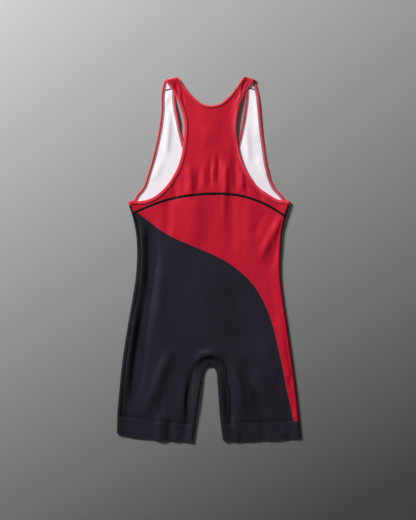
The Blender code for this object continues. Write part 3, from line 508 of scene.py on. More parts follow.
def upper_height(plan):
    """The middle of the upper layer: high at the folds and down elsewhere, with its creases."""
    near = np.full(len(plan), 1e9)
    radius = np.full(len(plan), FOLD_RADIUS)
    reach = FOLD_FALL + 2 * FOLD_RADIUS
    for line, radius_at in FOLDS:
        inside = (plan > line.min(axis=0) - reach) & (plan < line.max(axis=0) + reach)
        nearby = np.flatnonzero(np.all(inside, axis=1))
        away, along = line_reading(plan[nearby], line)
        away = abs(away)
        closer = away < near[nearby]
        near[nearby[closer]] = away[closer]
        radius[nearby[closer]] = radius_at(along[closer])
    clear = near - radius
    fall = 1 - smooth_step(clear / FOLD_FALL)
    calm = smooth_step((clear - 1.0) / CREASE_CALM)
    still = smooth_step((clear - 0.5) / 4.0)
    return HIGH + (LOW + 2 * radius - HIGH) * fall + swelling(plan) * calm + seam_relief(plan) * still


def lay_upper(plan):
    """Places and outward normals on the upper layer."""
    plan = np.asarray(plan, dtype=float)
    step = 0.5
    height = upper_height(plan)
    slope_x = (upper_height(plan + (step, 0)) - height) / step
    slope_y = (upper_height(plan + (0, step)) - height) / step
    normals = np.column_stack((-slope_x, -slope_y, np.ones(len(plan))))
    normals /= np.linalg.norm(normals, axis=1)[:, None]
    return np.column_stack((plan, height)), normals, np.zeros(len(plan))


def lower_height(plan):
    """The middle of the lower layer: flat where the upper layer lies on it, with folds in the armholes."""
    bare = np.zeros(len(plan))
    for opening, covered_line in OPENINGS:
        low, high = opening.min(axis=0), opening.max(axis=0)
        near = np.flatnonzero(np.all((plan > low) & (plan < high), axis=1))
        near = near[inside_loop(plan[near], opening)]
        away = line_distance(plan[near], covered_line)
        bare[near] = smooth_step(away / LOWER_COVER)
    return LOW + np.maximum(crease_height(plan, LOWER_CREASES), 0) * bare


def lay_lower(plan):
    """Places and outward normals on the lower layer, whose outside faces down."""
    plan = np.asarray(plan, dtype=float)
    step = 0.5
    height = lower_height(plan)
    slope_x = (lower_height(plan + (step, 0)) - height) / step
    slope_y = (lower_height(plan + (0, step)) - height) / step
    normals = np.column_stack((slope_x, slope_y, -np.ones(len(plan))))
    normals /= np.linalg.norm(normals, axis=1)[:, None]
    return np.column_stack((plan, height)), normals, np.ones(len(plan))


def lay_yoke(plan):
    """The yoke lies on the upper layer, and its straps pass over the shoulder folds."""
    plan = np.asarray(plan, dtype=float)
    places, normals, turned = lay_upper(plan)
    for shoulder, on_side in ((LEFT_SHOULDER, plan[:, 0] < 0), (RIGHT_SHOULDER, plan[:, 0] > 0)):
        over = on_side & (shoulder.beyond(plan) > 0)
        if over.any():
            places[over], normals[over], turned[over] = shoulder.lay(plan[over])
    return places, normals, turned


def inside_loop(points, loop):
    """Which points lie inside a closed plan outline."""
    inside = np.zeros(len(points), dtype=bool)
    for start, end in zip(loop, np.roll(loop, -1, axis=0)):
        if start[1] == end[1]:
            continue
        crosses = (points[:, 1] < start[1]) != (points[:, 1] < end[1])
        share = (points[:, 1] - start[1]) / (end[1] - start[1])
        inside ^= crosses & (points[:, 0] < start[0] + share * (end[0] - start[0]))
    return inside


def grid_points(loop, spacing):
    """An even triangular grid of points inside an outline, clear of its edge."""
    low, high = loop.min(axis=0), loop.max(axis=0)
    rows = []
    row_step = spacing * math.sqrt(3) / 2
    for number, y in enumerate(np.arange(low[1], high[1], row_step)):
        x = np.arange(low[0] + (number % 2) * spacing / 2, high[0], spacing)
        rows.append(np.column_stack((x, np.full(len(x), y))))
    points = np.vstack(rows)
    points = points[inside_loop(points, loop)]
    closed = np.vstack((loop, loop[:1]))
    return points[line_distance(points, closed) > 0.55 * spacing]


def is_navy(plan):
    """Which plan points lie on the navy side of the colour line."""
    return plan[:, 1] < np.interp(plan[:, 0], COLOUR_POINTS[:, 0], COLOUR_POINTS[:, 1])


class Cloth:
    """An open sheet of points with outward normals, and the cloth's depth inward and outward there."""

    def __init__(self):
        self.places = np.zeros((0, 3))
        self.normals = np.zeros((0, 3))
        self.depths = np.zeros((0, 2))
        self.faces = []
        self.shades = []

    def add(self, places, normals, depths=(INWARD, OUTWARD)):
        first = len(self.places)
        self.places = np.vstack((self.places, places))
        self.normals = np.vstack((self.normals, normals))
        self.depths = np.vstack((self.depths, np.broadcast_to(depths, (len(places), 2))))
        return list(range(first, first + len(places)))

    def weave(self, rows, closed=False, shades=None):
        """Joins rows of points with four-sided faces. shades gives the material of each row's faces."""
        pairs = list(zip(rows[:-1], rows[1:]))
        if closed:
            pairs.append((rows[-1], rows[0]))
        for number, (one, two) in enumerate(pairs):
            for i in range(len(one) - 1):
                self.faces.append((one[i], one[i + 1], two[i + 1], two[i]))
                self.shades.append(0 if shades is None else shades[number])

    def fill(self, outline, spacing, lay, lines=(), colour_line=None):
        """Fills an outline. The faces keep to lines, which are rows of plan points, and the colour line
        splits them."""
        loop, known = np.array(outline.points), outline.known
        inner = grid_points(loop, spacing)
        for line in lines:
            inner = inner[line_distance(inner, line) > 0.55 * spacing]
        closed = np.vstack((loop, loop[:1]))
        for line in lines:
            inside = line[inside_loop(line, loop)]
            inner = np.vstack((inner, inside[line_distance(inside, closed) > 0.6]))
        count = len(loop)
        edges = [(i, (i + 1) % count) for i in range(count)]
        if colour_line is not None:
            kept = colour_line[inside_loop(colour_line, loop)]
            kept = kept[line_distance(kept, closed) > 0.8]
            inner = inner[line_distance(inner, kept) > 0.55 * spacing]
            inner = np.vstack((kept, inner))
            edges += [(count + i, count + i + 1) for i in range(len(kept) - 1)]
        every = np.vstack((loop, inner))
        result = delaunay_2d_cdt([Vector(p) for p in every], edges, [], 1, 1e-4)
        new = [i for i in range(len(every)) if i not in known]
        places, normals, _ = lay(every[new])
        numbers = dict(zip(new, self.add(places, normals)))
        numbers.update(known)
        source = [ids[0] for ids in result[3]]
        faces = [tuple(source[i] for i in face) for face in result[2]]
        middles = np.array([every[list(face)].mean(axis=0) for face in faces])
        self.shades += [0] * len(faces) if colour_line is None else is_navy(middles).astype(int).tolist()
        self.faces += [tuple(numbers[i] for i in face) for face in faces]

    def shell(self, name, materials, inside):
        """Makes the closed thin shell as an object. inside is the number of the material of its inside."""
        outer = (self.places + self.normals * self.depths[:, 1:]) * MM
        inner = (self.places - self.normals * self.depths[:, :1]) * MM
        count = len(outer)
        faces, shades, sides = [], [], {}
        for face, shade in zip(self.faces, self.shades):
            faces.append(face)
            faces.append(tuple(i + count for i in reversed(face)))
            shades += (shade, inside)
            for one, two in zip(face, face[1:] + face[:1]):
                sides[(one, two)] = shade
        for (one, two), shade in sides.items():
            if (two, one) not in sides:
                faces.append((two, one, one + count, two + count))
                shades.append(shade)
        return make_object(name, np.vstack((outer, inner)), faces, materials, shades)


def make_object(name, points, faces, materials, shades=None, sharp=50):
    data = bpy.data.meshes.new(name)
    data.from_pydata(points.tolist(), [], faces)
    for material in materials:
        data.materials.append(material)
    if shades is not None:
        data.polygons.foreach_set("material_index", shades)
    mesh = bmesh.new()
    mesh.from_mesh(data)
    bmesh.ops.recalc_face_normals(mesh, faces=mesh.faces)
    mesh.to_mesh(data)
    mesh.free()
    data.shade_smooth()
    data.set_sharp_from_angle(angle=math.radians(sharp))
    piece = bpy.data.objects.new(name, data)
    bpy.context.scene.collection.objects.link(piece)
    return piece


def stations(start, end, step):
    return np.linspace(start, end, max(2, round(abs(end - start) / step) + 1))


class Strip:
    """The stretch of a fold from band to underarm or from band to band. Its cloth is read by the length
    along the fold and the distance over the cloth from the top of the fold, negative down round it."""

    def __init__(self, fold, start, end, seam, ends, radius):
        """seam and radius give the seam's distance over and the fold's radius, for lengths along it."""
        self.fold = fold
        self.at = stations(start, end, ROW_STEP)
        self.seam = seam
        self.ends = ends
        self.radius = radius

    def across(self, at):
        """The direction across the fold: square to it, and along the seam close to a leg band."""
        across = self.fold.right(at)
        for end, seam_way in self.ends:
            share = 1 - smooth_step(abs(at - end) / SEAM_BLEND)[:, None]
            across = across * (1 - share) + np.array(seam_way) * share
        return across / np.linalg.norm(across, axis=1)[:, None]

    def plan(self, at, over):
        return self.fold.point(at) - self.across(at) * (self.radius(at) + over)[:, None]

    def lay(self, at, over):
        """Places and outward normals."""
        at, over = np.broadcast_arrays(np.asarray(at, dtype=float), over)
        top, top_normals, _ = lay_upper(self.plan(at, np.maximum(over, 0)))
        radius = self.radius(at)
        angle = math.pi / 2 + np.minimum(over, 0) / radius
        across = self.across(at)
        plan = self.fold.point(at) + across * (radius * (np.cos(angle) - 1))[:, None]
        places = np.column_stack((plan, LOW + radius * (1 + np.sin(angle))))
        normals = np.column_stack((across * np.cos(angle)[:, None], np.sin(angle)))
        on_top = (over > 0)[:, None]
        return np.where(on_top, top, places), np.where(on_top, top_normals, normals)

    def inner_line(self, gap):
        """The plan of the strip's seam on the upper layer, gap further in."""
        return self.plan(self.at, self.seam(self.at) + gap)

    def start_line(self):
        """The plan of the line on the lower layer where the cloth starts to turn."""
        return self.plan(self.at, np.zeros(len(self.at)))

    def weave_into(self, cloth, first, last, columns, shades=None, rows=slice(None)):
        """Adds the cloth between two distances over and gives the numbers of its first and last column."""
        at = self.at[rows]
        numbers = []
        for share in np.linspace(0, 1, columns + 1):
            numbers.append(cloth.add(*self.lay(at, first[rows] * (1 - share) + last[rows] * share)))
        cloth.weave(list(zip(*numbers)), shades=shades)
        return numbers[0], numbers[-1]


class Outline:
    """A closed plan outline, with the numbers of those of its points that a sheet has already."""

    def __init__(self):
        self.points = []
        self.known = {}

    def extend(self, points, numbers=None):
        for i, point in enumerate(points):
            if numbers is not None:
                self.known[len(self.points)] = numbers[i]
            self.points.append(point)


def offset(points, gap):
    """An open plan line moved gap to its right."""
    way = np.gradient(points, axis=0)
    way /= np.linalg.norm(way, axis=1)[:, None]
    return points + gap * np.column_stack((way[:, 1], -way[:, 0]))


class Underarm:
    """The place on a side fold where an armhole passes from the upper to the lower layer."""

    def __init__(self, fold, tip, way):
        """tip is the length along the fold, and way is 1 where the fold runs down from it."""
        self.fold = fold
        self.tip = tip
        self.way = way

    def start(self, inward):
        """Plan points where the cloth starts to turn, at distances down from the armhole's edge."""
        at = self.tip + self.way * np.asarray(inward, dtype=float)
        return self.fold.point(at) - self.fold.right(at) * FOLD_RADIUS

    def lead(self):
        """A plan point that makes an armhole's edge meet the fold squarely."""
        return self.start(0.0) - self.fold.right(self.tip) * UNDERARM_LEAD


class Edge:
    """A bound edge over one shoulder: its opened-out path, the side its cloth is on and its widths."""

    def __init__(self, back, front, shoulder, cloth_side, widths, underarm=None):
        points = [*back, *shoulder.open_out(front)]
        if underarm:
            ends = [underarm.start(0.0), underarm.lead()]
            points = [*ends, *points, *shoulder.open_out(ends)[::-1]]
        self.path = Path(points)
        self.shoulder = shoulder
        self.cloth_side = cloth_side
        self.underarm = underarm
        self.ends = widths
        self.at = self.choose_stations()

    def choose_stations(self):
        """Even stations, with closer ones on the lines of the shoulder fold."""
        length = self.path.length
        at = stations(0, length, BINDING_STEP)
        every = np.linspace(0, length, 4000)
        beyond = self.shoulder.beyond(self.plan(every, self.width(every) + SEAM_GAP))
        near_fold = abs(beyond) < 30
        on_fold = np.interp(FOLD_LEVELS, beyond[near_fold], every[near_fold])
        clear = (at < on_fold[0] - BINDING_STEP / 3) | (at > on_fold[-1] + BINDING_STEP / 3)
        return np.sort(np.concatenate((at[clear], on_fold)))

    def width(self, at):
        share = smooth_step((self.shoulder.beyond(self.path.point(at)) + 20) / 40)
        if self.underarm:
            share = share * smooth_step((self.path.length - at) / UNDERARM_BLEND)
        return self.ends[0] * (1 - share) + self.ends[1] * share

    def plan(self, at, inward):
        """Opened-out plan points inward from the edge, by a distance for each."""
        inward = np.broadcast_to(inward, at.shape)
        step = self.path.right(at) * self.cloth_side * inward[:, None]
        if self.underarm:
            tip = self.underarm.start(0.0)
            down = self.underarm.start(inward)
            opened_tip = self.shoulder.open_out([tip])[0]
            shares = (at, self.path.length - at)
            for share, moved in zip(shares, (down - tip, self.shoulder.open_out(down) - opened_tip)):
                share = smooth_step(share / UNDERARM_BLEND)[:, None]
                step = step * share + moved * (1 - share)
        return self.path.point(at) + step

    def sewn_line(self):
        """The plan of the panel's edge beside the binding."""
        return self.plan(self.at, self.width(self.at) + SEAM_GAP)

    def rows(self, cloth):
        """Adds the rows across the binding to a cloth, from the free edge to the sewn edge."""
        width = self.width(self.at)
        ripple = wave(self.at / 5.5, self.path.length)
        columns = []
        for inward in binding_columns(width):
            places, normals, turned = lay_yoke(self.plan(self.at, inward))
            columns.append(cloth.add(places, normals, binding_depths(turned, inward, width, ripple)))
        return list(zip(*columns))


def binding_columns(width):
    """Distances in from the free edge: close where it rounds, and again at the stitching."""
    rounded = [np.zeros_like(width) + inward for inward in (0.0, 0.15, 0.5, BINDING_ROUND)]
    flat = [BINDING_ROUND + (width - 2.4 - BINDING_ROUND) * share for share in (0.33, 0.67)]
    sewn = [width - outward for outward in (2.4, 2.0, STITCH_IN, 1.2, 0.6, 0.0)]
    return rounded + flat + sewn


def binding_depths(turned, inward, width, ripple):
    """The binding is thicker than the panel on its upper face, whichever layer it lies on."""
    turned = np.asarray(turned, dtype=float)
    open_share = np.clip(1 - inward / BINDING_ROUND, 0, 0.995)
    rounded = np.sqrt(1 - open_share**2)
    from_sewn = width - inward
    body = smooth_step(inward / 2.0) * smooth_step(from_sewn / 3.0)
    up = OUTWARD + (BINDING_UP - OUTWARD) * smooth_step(from_sewn / 1.3)
    up = up + 0.12 * ripple * body - STITCH_GROOVE * np.exp(-(((from_sewn - STITCH_IN) / STITCH_GROOVE_WIDTH) ** 2))
    up, down = up * rounded, BINDING_DOWN * rounded
    return np.column_stack((down * (1 - turned) + up * turned, up * (1 - turned) + down * turned))


def underarm_rows(cloth, underarm, width):
    """The binding's rows round a side fold at the underarm, from the upper to the lower layer."""
    rows = []
    inward = np.array(binding_columns(np.array(width)))
    across = underarm.fold.right(underarm.tip + underarm.way * inward)
    for angle in np.linspace(math.pi / 2, -math.pi / 2, FOLD_STEPS + 1)[1:-1]:
        plan = underarm.start(inward) + across * FOLD_RADIUS * math.cos(angle)
        height = np.full(len(inward), LOW + FOLD_RADIUS * (1 + math.sin(angle)))
        normals = np.column_stack((across * math.cos(angle), np.full(len(inward), math.sin(angle))))
        turned = np.full(len(inward), (math.pi / 2 - angle) / math.pi)
        depths = binding_depths(turned, inward, np.full(len(inward), width), 0.0)
        rows.append(cloth.add(np.column_stack((plan, height)), normals, depths))
    return rows


def make_armhole_binding(name, edge, material):
    cloth = Cloth()
    rows = edge.rows(cloth)
    rows += reversed(underarm_rows(cloth, edge.underarm, ARMHOLE_BINDING_BACK))
    cloth.weave(rows, closed=True)
    return cloth.shell(name, [material], 0)


def make_neck_binding(name, material):
    cloth = Cloth()
    left = NECK_LEFT.rows(cloth)
    right = NECK_RIGHT.rows(cloth)
    cloth.weave(left + right[-2:0:-1], closed=True)
    return cloth.shell(name, [material], 0)


def make_leg_band(name, seam, hem, materials):
    """A flattened ring between the seam above it and its hem."""
    cloth = Cloth()
    upper, marks = band_section(seam, SEAM_GAP / 2)
    lower = band_section(hem, 0.0)[0]
    rows = []
    for share in np.linspace(0, 1, BAND_ROWS + 1):
        places, normals = ring_places(upper * (1 - share) + lower * share, marks)
        row = cloth.add(places, normals)
        rows.append([*row, row[0]])
    cloth.weave(rows)
    return cloth.shell(name, materials, 1)


def band_section(curve, drop):
    """Plan points of a ring along a curve from fold to fold, and what each is: on the lower layer, turning
    by an angle and a way across the fold, or on the upper layer."""
    path = Path(curve)
    at = np.linspace(FOLD_RADIUS, path.length - FOLD_RADIUS, BAND_COLUMNS + 1)
    flat = path.point(at)
    angles = np.linspace(-math.pi / 2, math.pi / 2, FOLD_STEPS + 1)[1:-1]
    starts = (path.point(0.0), path.point(path.length))
    ways = [starts[0] - flat[0], starts[1] - flat[-1]]
    ways = [way / np.linalg.norm(way) for way in ways]
    inner_turn = flat[-1] + np.outer(FOLD_RADIUS * np.cos(angles), ways[1])
    outer_turn = flat[0] + np.outer(FOLD_RADIUS * np.cos(angles[::-1]), ways[0])
    plan = np.vstack((flat, inner_turn, flat[::-1], outer_turn)) - (0, drop)
    marks = [("low", 0.0, None)] * len(flat)
    marks += [("turn", angle, ways[1]) for angle in angles]
    marks += [("high", 0.0, None)] * len(flat)
    marks += [("turn", angle, ways[0]) for angle in angles[::-1]]
    return plan, marks


def ring_places(plan, marks):
    low, low_normals, _ = lay_lower(plan)
    high, high_normals, _ = lay_upper(plan)
    places, normals = [], []
    for i, (kind, angle, way) in enumerate(marks):
        if kind == "low":
            places.append(low[i])
            normals.append(low_normals[i])
        elif kind == "high":
            places.append(high[i])
            normals.append(high_normals[i])
        else:
            places.append((*plan[i], LOW + FOLD_RADIUS * (1 + math.sin(angle))))
            normals.append((*(np.array(way) * math.cos(angle)), math.sin(angle)))
    return np.array(places), np.array(normals)


def between(curve, first, last, gap):
    """The plan of a band seam between two points near it, moved gap towards the shoulders."""
    path = Path(curve)
    points = path.point(stations(path.nearest(first), path.nearest(last), ROW_STEP)[1:-1])
    return points + (0, gap)


def make_front_panel(name, materials):
    cloth = Cloth()
    half = SEAM_GAP / 2
    starts, numbers = [], []
    for strip, columns in ((LEFT_STRIP, 16), (INNER_STRIP, 22), (RIGHT_STRIP, 14)):
        shades = {LEFT_STRIP: is_navy(strip.start_line()).astype(int), INNER_STRIP: [1] * len(strip.at)}
        first = -math.pi * strip.radius(strip.at)
        last = strip.seam(strip.at) - half
        numbers.append(strip.weave_into(cloth, first, last, columns, shades.get(strip))[0])
        starts.append(strip.start_line())
    left, inner, right = starts
    outline = Outline()
    outline.extend(left, numbers[0])
    outline.extend(between(BAND_SEAM_LEFT, left[-1], inner[0], half))
    outline.extend(inner, numbers[1])
    outline.extend(between(BAND_SEAM_RIGHT, inner[-1], right[0], half))
    outline.extend(right, numbers[2])
    outline.extend(front_edge(ARM_RIGHT)[::-1])
    outline.extend(front_edge(NECK_RIGHT)[:-1])
    outline.extend(front_edge(NECK_LEFT)[::-1])
    outline.extend(front_edge(ARM_LEFT))
    cloth.fill(outline, FRONT_SPACING, lay_lower, colour_line=COLOUR_POINTS)
    return cloth.shell(name, materials, 2)


def front_edge(edge):
    """The plan, on the lower layer, of the panel's edge by a binding, from the shoulder seam down."""
    shoulder = edge.shoulder
    cut = math.pi * FOLD_RADIUS + SHOULDER_SEAM + SEAM_GAP / 2
    at_seam, points = split_at(edge.sewn_line(), shoulder.beyond, cut)[1:]
    points = np.vstack((at_seam, points))
    inside = shoulder.beyond(points) - math.pi * FOLD_RADIUS
    points = points - np.outer(2 * inside + math.pi * FOLD_RADIUS, shoulder.out)
    if edge.underarm:
        points = points[line_distance(points, edge.underarm.fold.line) > FOLD_RADIUS + 0.8]
    return points


def back_edge(edge):
    """The opened-out plan of the sewn edge of a binding from the back to the shoulder seam."""
    cut = math.pi * FOLD_RADIUS + SHOULDER_SEAM - SEAM_GAP / 2
    points, at_seam = split_at(edge.sewn_line(), edge.shoulder.beyond, cut)[:2]
    points = np.vstack((points, at_seam))
    line = edge.underarm.fold.line if edge.underarm else None
    if edge is ARM_LEFT:
        reach = FOLD_RADIUS + SIDE_SEAM_LEFT[0][1] + SEAM_GAP
        corner, points = split_at(points, lambda plan: line_distance(plan, line), reach)[1:]
        points = np.vstack((corner, points))
    if edge is ARM_RIGHT:
        points = points[line_distance(points, line) > FOLD_RADIUS + SIDE_MARGIN + 0.5]
    return points


def split_at(points, measure, level):
    """The points before a measure of them passes a level, the point at the level and the points after."""
    values = measure(points)
    first = int(np.argmax(values > level))
    share = (level - values[first - 1]) / (values[first] - values[first - 1])
    at_level = points[first - 1] + share * (points[first] - points[first - 1])
    return points[:first], at_level, points[first:]


def right_line():
    """The plan of the line on the upper layer where the back's cloth starts to turn to the right seam."""
    return RIGHT_STRIP.plan(RIGHT_STRIP.at, np.full(len(RIGHT_STRIP.at), SIDE_MARGIN))


def right_turn(cloth, rows):
    """Adds the back's cloth between the right side seam and the upper layer."""
    seam = RIGHT_STRIP.seam(RIGHT_STRIP.at) + SEAM_GAP / 2
    margin = np.full(len(RIGHT_STRIP.at), SIDE_MARGIN)
    return RIGHT_STRIP.weave_into(cloth, margin, seam, 8, rows=rows)[0]


def yoke_seam_rows():
    """The stations of the side strips at which the curved seam ends."""
    left = LEFT_STRIP.inner_line(SEAM_GAP)
    left_row = int(np.argmin(abs(left[:, 1] - YOKE_SEAM_LEFT_Y)))
    return left_row, int(np.argmin(abs(right_line()[:, 1] - YOKE_SEAM_RIGHT_Y)))


def yoke_seam(gap):
    """The plan of the curved seam, left to right, moved gap towards the shoulders."""
    left_row, right_row = yoke_seam_rows()
    left_end = LEFT_STRIP.inner_line(SEAM_GAP)[left_row]
    path = Path([left_end, *YOKE_SEAM, right_line()[right_row]])
    points = path.point(stations(0, path.length, BACK_SPACING))
    return offset(points, -gap)


def make_back_yoke(name, materials):
    cloth = Cloth()
    left_row, right_row = yoke_seam_rows()
    rows = slice(right_row, None)
    outline = Outline()
    outline.extend(LEFT_STRIP.inner_line(SEAM_GAP)[1:left_row])
    outline.extend(yoke_seam(SEAM_GAP / 2)[:-1])
    outline.extend(right_line()[rows], right_turn(cloth, rows))
    outline.extend(back_edge(ARM_RIGHT))
    outline.extend(back_edge(NECK_RIGHT)[:0:-1])
    outline.extend(back_edge(NECK_LEFT))
    outline.extend(back_edge(ARM_LEFT)[::-1])
    lines = LEFT_SHOULDER.lines(STRAP_STEP) + RIGHT_SHOULDER.lines(STRAP_STEP)
    cloth.fill(outline, YOKE_SPACING, lay_yoke, lines)
    return cloth.shell(name, materials, 1)


def make_back_panel(name, materials):
    cloth = Cloth()
    half = SEAM_GAP / 2
    left_row, right_row = yoke_seam_rows()
    rows = slice(None, right_row + 1)
    left = LEFT_STRIP.inner_line(SEAM_GAP)[left_row + 1 :]
    inner = INNER_STRIP.inner_line(SEAM_GAP)
    right = right_line()[rows]
    outline = Outline()
    outline.extend(left)
    outline.extend(between(BAND_SEAM_LEFT, left[-1], inner[0], half))
    outline.extend(inner)
    outline.extend(between(BAND_SEAM_RIGHT, inner[-1], right[0], half))
    outline.extend(right, right_turn(cloth, rows))
    outline.extend(yoke_seam(-half)[-2::-1])
    cloth.fill(outline, BACK_SPACING, lay_upper, colour_line=COLOUR_POINTS)
    return cloth.shell(name, materials, 2)


def seam_end(curve, at_start):
    """The plan point at an end of a band seam, and the outward direction of the seam there."""
    path = Path(curve)
    inside = path.point(FOLD_RADIUS if at_start else path.length - FOLD_RADIUS)
    point = path.point(0.0 if at_start else path.length)
    return point, (point - inside) / np.linalg.norm(point - inside)


def make_strips():
    half = SEAM_GAP / 2
    left_point, left_way = seam_end(BAND_SEAM_LEFT, True)
    inner_left_point, inner_left_way = seam_end(BAND_SEAM_LEFT, False)
    inner_right_point, inner_right_way = seam_end(BAND_SEAM_RIGHT, True)
    right_point, right_way = seam_end(BAND_SEAM_RIGHT, False)
    underarm = ARMHOLE_BINDING_BACK + SEAM_GAP
    left_end = LEFT_FOLD.nearest(left_point) - half
    inner_start = INNER_FOLD.nearest(inner_left_point) + half
    inner_end = INNER_FOLD.nearest(inner_right_point) - half
    right_start = RIGHT_FOLD.nearest(right_point) + half
    parts, reaches = zip(*INNER_REACH)
    left_downs, left_overs = zip(*SIDE_SEAM_LEFT)
    right_downs, right_overs = zip(*SIDE_SEAM_RIGHT)
    left = Strip(
        LEFT_FOLD,
        underarm,
        left_end,
        lambda at: np.interp(at, left_downs, left_overs),
        [(left_end, left_way)],
        left_radius,
    )
    inner = Strip(
        INNER_FOLD,
        inner_start,
        inner_end,
        lambda at: np.interp((at - inner_start) / (inner_end - inner_start), parts, reaches) - FOLD_RADIUS,
        [(inner_start, inner_left_way), (inner_end, inner_right_way)],
        inner_radius,
    )
    right = Strip(
        RIGHT_FOLD,
        right_start,
        RIGHT_FOLD.length - underarm,
        lambda at: np.interp(RIGHT_FOLD.length - at, right_downs, right_overs),
        [(right_start, right_way)],
        plain_radius,
    )
    return left, inner, right


def plain_radius(at):
    return np.full(np.shape(at), FOLD_RADIUS)


def left_radius(at):
    """The left side is a fuller roll from the waist to the thigh."""
    return FOLD_RADIUS + LEFT_FULLER * np.exp(-(((at - LEFT_FULL_AT) / LEFT_FULL_REACH) ** 2))


def inner_radius(at):
    """The fold lies low at the crotch and is fuller along the legs."""
    off = abs(at - INNER_FOLD.length / 2)
    crotch = np.exp(-((off / CROTCH_REACH) ** 2))
    legs = np.exp(-(((off - LEG_FULL_OFF) / LEG_FULL_REACH) ** 2))
    return FOLD_RADIUS - CROTCH_LOWER * crotch + LEG_FULLER * legs


class Thread:
    """Tubes of sewing thread, gathered into one piece."""

    def __init__(self, radius=THREAD):
        self.radius = radius
        self.points = []
        self.faces = []
        self.count = 0

    def tube(self, places, normals):
        """A tube along a row of places, with the normals of the cloth under it."""
        way = np.gradient(places, axis=0)
        way /= np.linalg.norm(way, axis=1)[:, None]
        side = np.cross(way, normals)
        side /= np.linalg.norm(side, axis=1)[:, None]
        up = np.cross(side, way)
        first = self.count
        for turn in np.linspace(0, 2 * math.pi, THREAD_SIDES, endpoint=False):
            self.points.append(places + self.radius * (side * math.cos(turn) + up * math.sin(turn)))
        length = len(places)
        self.count += length * THREAD_SIDES
        for k in range(THREAD_SIDES):
            a, b = first + k * length, first + (k + 1) % THREAD_SIDES * length
            self.faces += [(a + i, b + i, b + i + 1, a + i + 1) for i in range(length - 1)]
        ends = [first + k * length for k in range(THREAD_SIDES)]
        self.faces.append(tuple(ends))
        self.faces.append(tuple(i + length - 1 for i in reversed(ends)))

    def make(self, name, material):
        return make_object(name, above_ground(np.vstack(self.points)) * MM, self.faces, [material], sharp=80)


def run_of_stitches(thread, start, end, aside, lay, lift, length=STITCH_LENGTH):
    """A row of stitches: the thread arches over the cloth between its needle holes."""
    at = stations(start, end, length / 4)
    places, normals = lay(at, np.full(len(at), float(aside)))
    dive = abs(np.sin(math.pi * (at - start) / length)) ** 0.6
    thread.tube(places + normals * (lift + thread.radius - STITCH_DEPTH * (1 - dive))[:, None], normals)


def zigzag(thread, start, end, width, pitch, lay, lift):
    """A cover thread that crosses a seam to and fro."""
    count = round((end - start) / pitch)
    at = np.linspace(start, end, 4 * count + 1)
    swing = np.abs(((at - start) / (end - start) * count) % 1 * 2 - 1) * 2 - 1
    places, normals = lay(at, swing * width / 2)
    thread.tube(places + normals * (lift + thread.radius * (1.6 - abs(swing)))[:, None], normals)


def seam_bed(name, start, end, width, lay, lift, material):
    """The mat of looper threads that covers a seam."""
    at = stations(start, end, 0.8)
    rings = []
    for share in np.linspace(-1, 1, 7):
        places, normals = lay(at, np.full(len(at), share * width / 2))
        crown = BED_HEIGHT * (1 - share**4) + 0.05 * np.sin(2 * math.pi * (at / 1.6 + share))
        rings.append(places + normals * (lift + crown)[:, None])
    for share in (1.0, -1.0):
        places, normals = lay(at, np.full(len(at), share * width / 2))
        rings.append(places + normals * (lift - BED_HEIGHT))
    count, length = len(rings), len(at)
    faces = []
    for k in range(count):
        a, b = k * length, (k + 1) % count * length
        faces += [(a + i, b + i, b + i + 1, a + i + 1) for i in range(length - 1)]
    faces.append(tuple(k * length for k in range(count)))
    faces.append(tuple(k * length + length - 1 for k in reversed(range(count))))
    return make_object(name, above_ground(np.vstack(rings)) * MM, faces, [material], sharp=60)


def above_ground(points):
    """Stitches on the underside are pressed into the cloth."""
    return np.column_stack((points[:, :2], np.maximum(points[:, 2], 0.02)))


def flatlock(name, start, end, lay, lift, material, width):
    """A flatlock seam: its mat, three rows of needle stitches and the cover thread over them."""
    bed = seam_bed(name + "_bed", start, end, width, lay, lift, material)
    thread = Thread()
    for aside in (-0.36, 0.0, 0.36):
        run_of_stitches(thread, start, end, aside * width, lay, lift + BED_HEIGHT)
    zigzag(thread, start, end, width * 0.92, FLATLOCK_PITCH, lay, lift + BED_HEIGHT * 0.8)
    return [bed, thread.make(name + "_thread", material)]


def on_path(path, lay):
    """The place of a seam's threads by the length along a plan path and the distance aside."""

    def lay_threads(at, aside):
        return lay(path.point(at) + path.right(at) * aside[:, None])[:2]

    return lay_threads


def on_strip(strip):
    return lambda at, aside: strip.lay(at, strip.seam(at) + aside)


def facing_up(places, normals):
    return places, np.where(normals[:, 2:] < 0, -normals, normals)


def beside_binding(edge, inward):
    """The upper side of the cloth, in its middle, at a distance in from the sewn edge of a binding."""

    def lay_threads(at, aside):
        return facing_up(*lay_yoke(edge.plan(at, edge.width(at) + inward + aside))[:2])

    return lay_threads


def on_binding(edge, inward):
    """The binding's upper face at a distance in from its free edge towards the sewn edge."""

    def lay_threads(at, aside):
        width = edge.width(at)
        place_in = width - inward + aside
        places, normals, turned = lay_yoke(edge.plan(at, place_in))
        depths = binding_depths(turned, place_in, width, 0.0)
        is_inside = normals[:, 2:] < 0
        normals = np.where(is_inside, -normals, normals)
        return places + normals * np.where(is_inside, depths[:, :1], depths[:, 1:]), normals

    return lay_threads


def math_node(tree, operation, first, second=None, third=None):
    node = tree.nodes.new("ShaderNodeMath")
    node.operation = operation
    for socket, value in zip(node.inputs, (first, second, third)):
        if value is None:
            continue
        if isinstance(value, (int, float)):
            socket.default_value = value
        else:
            tree.links.new(value, socket)
    return node.outputs[0]


KNIT_DEPTH = 0.08
WALE = 0.00060
COURSE = 0.00046


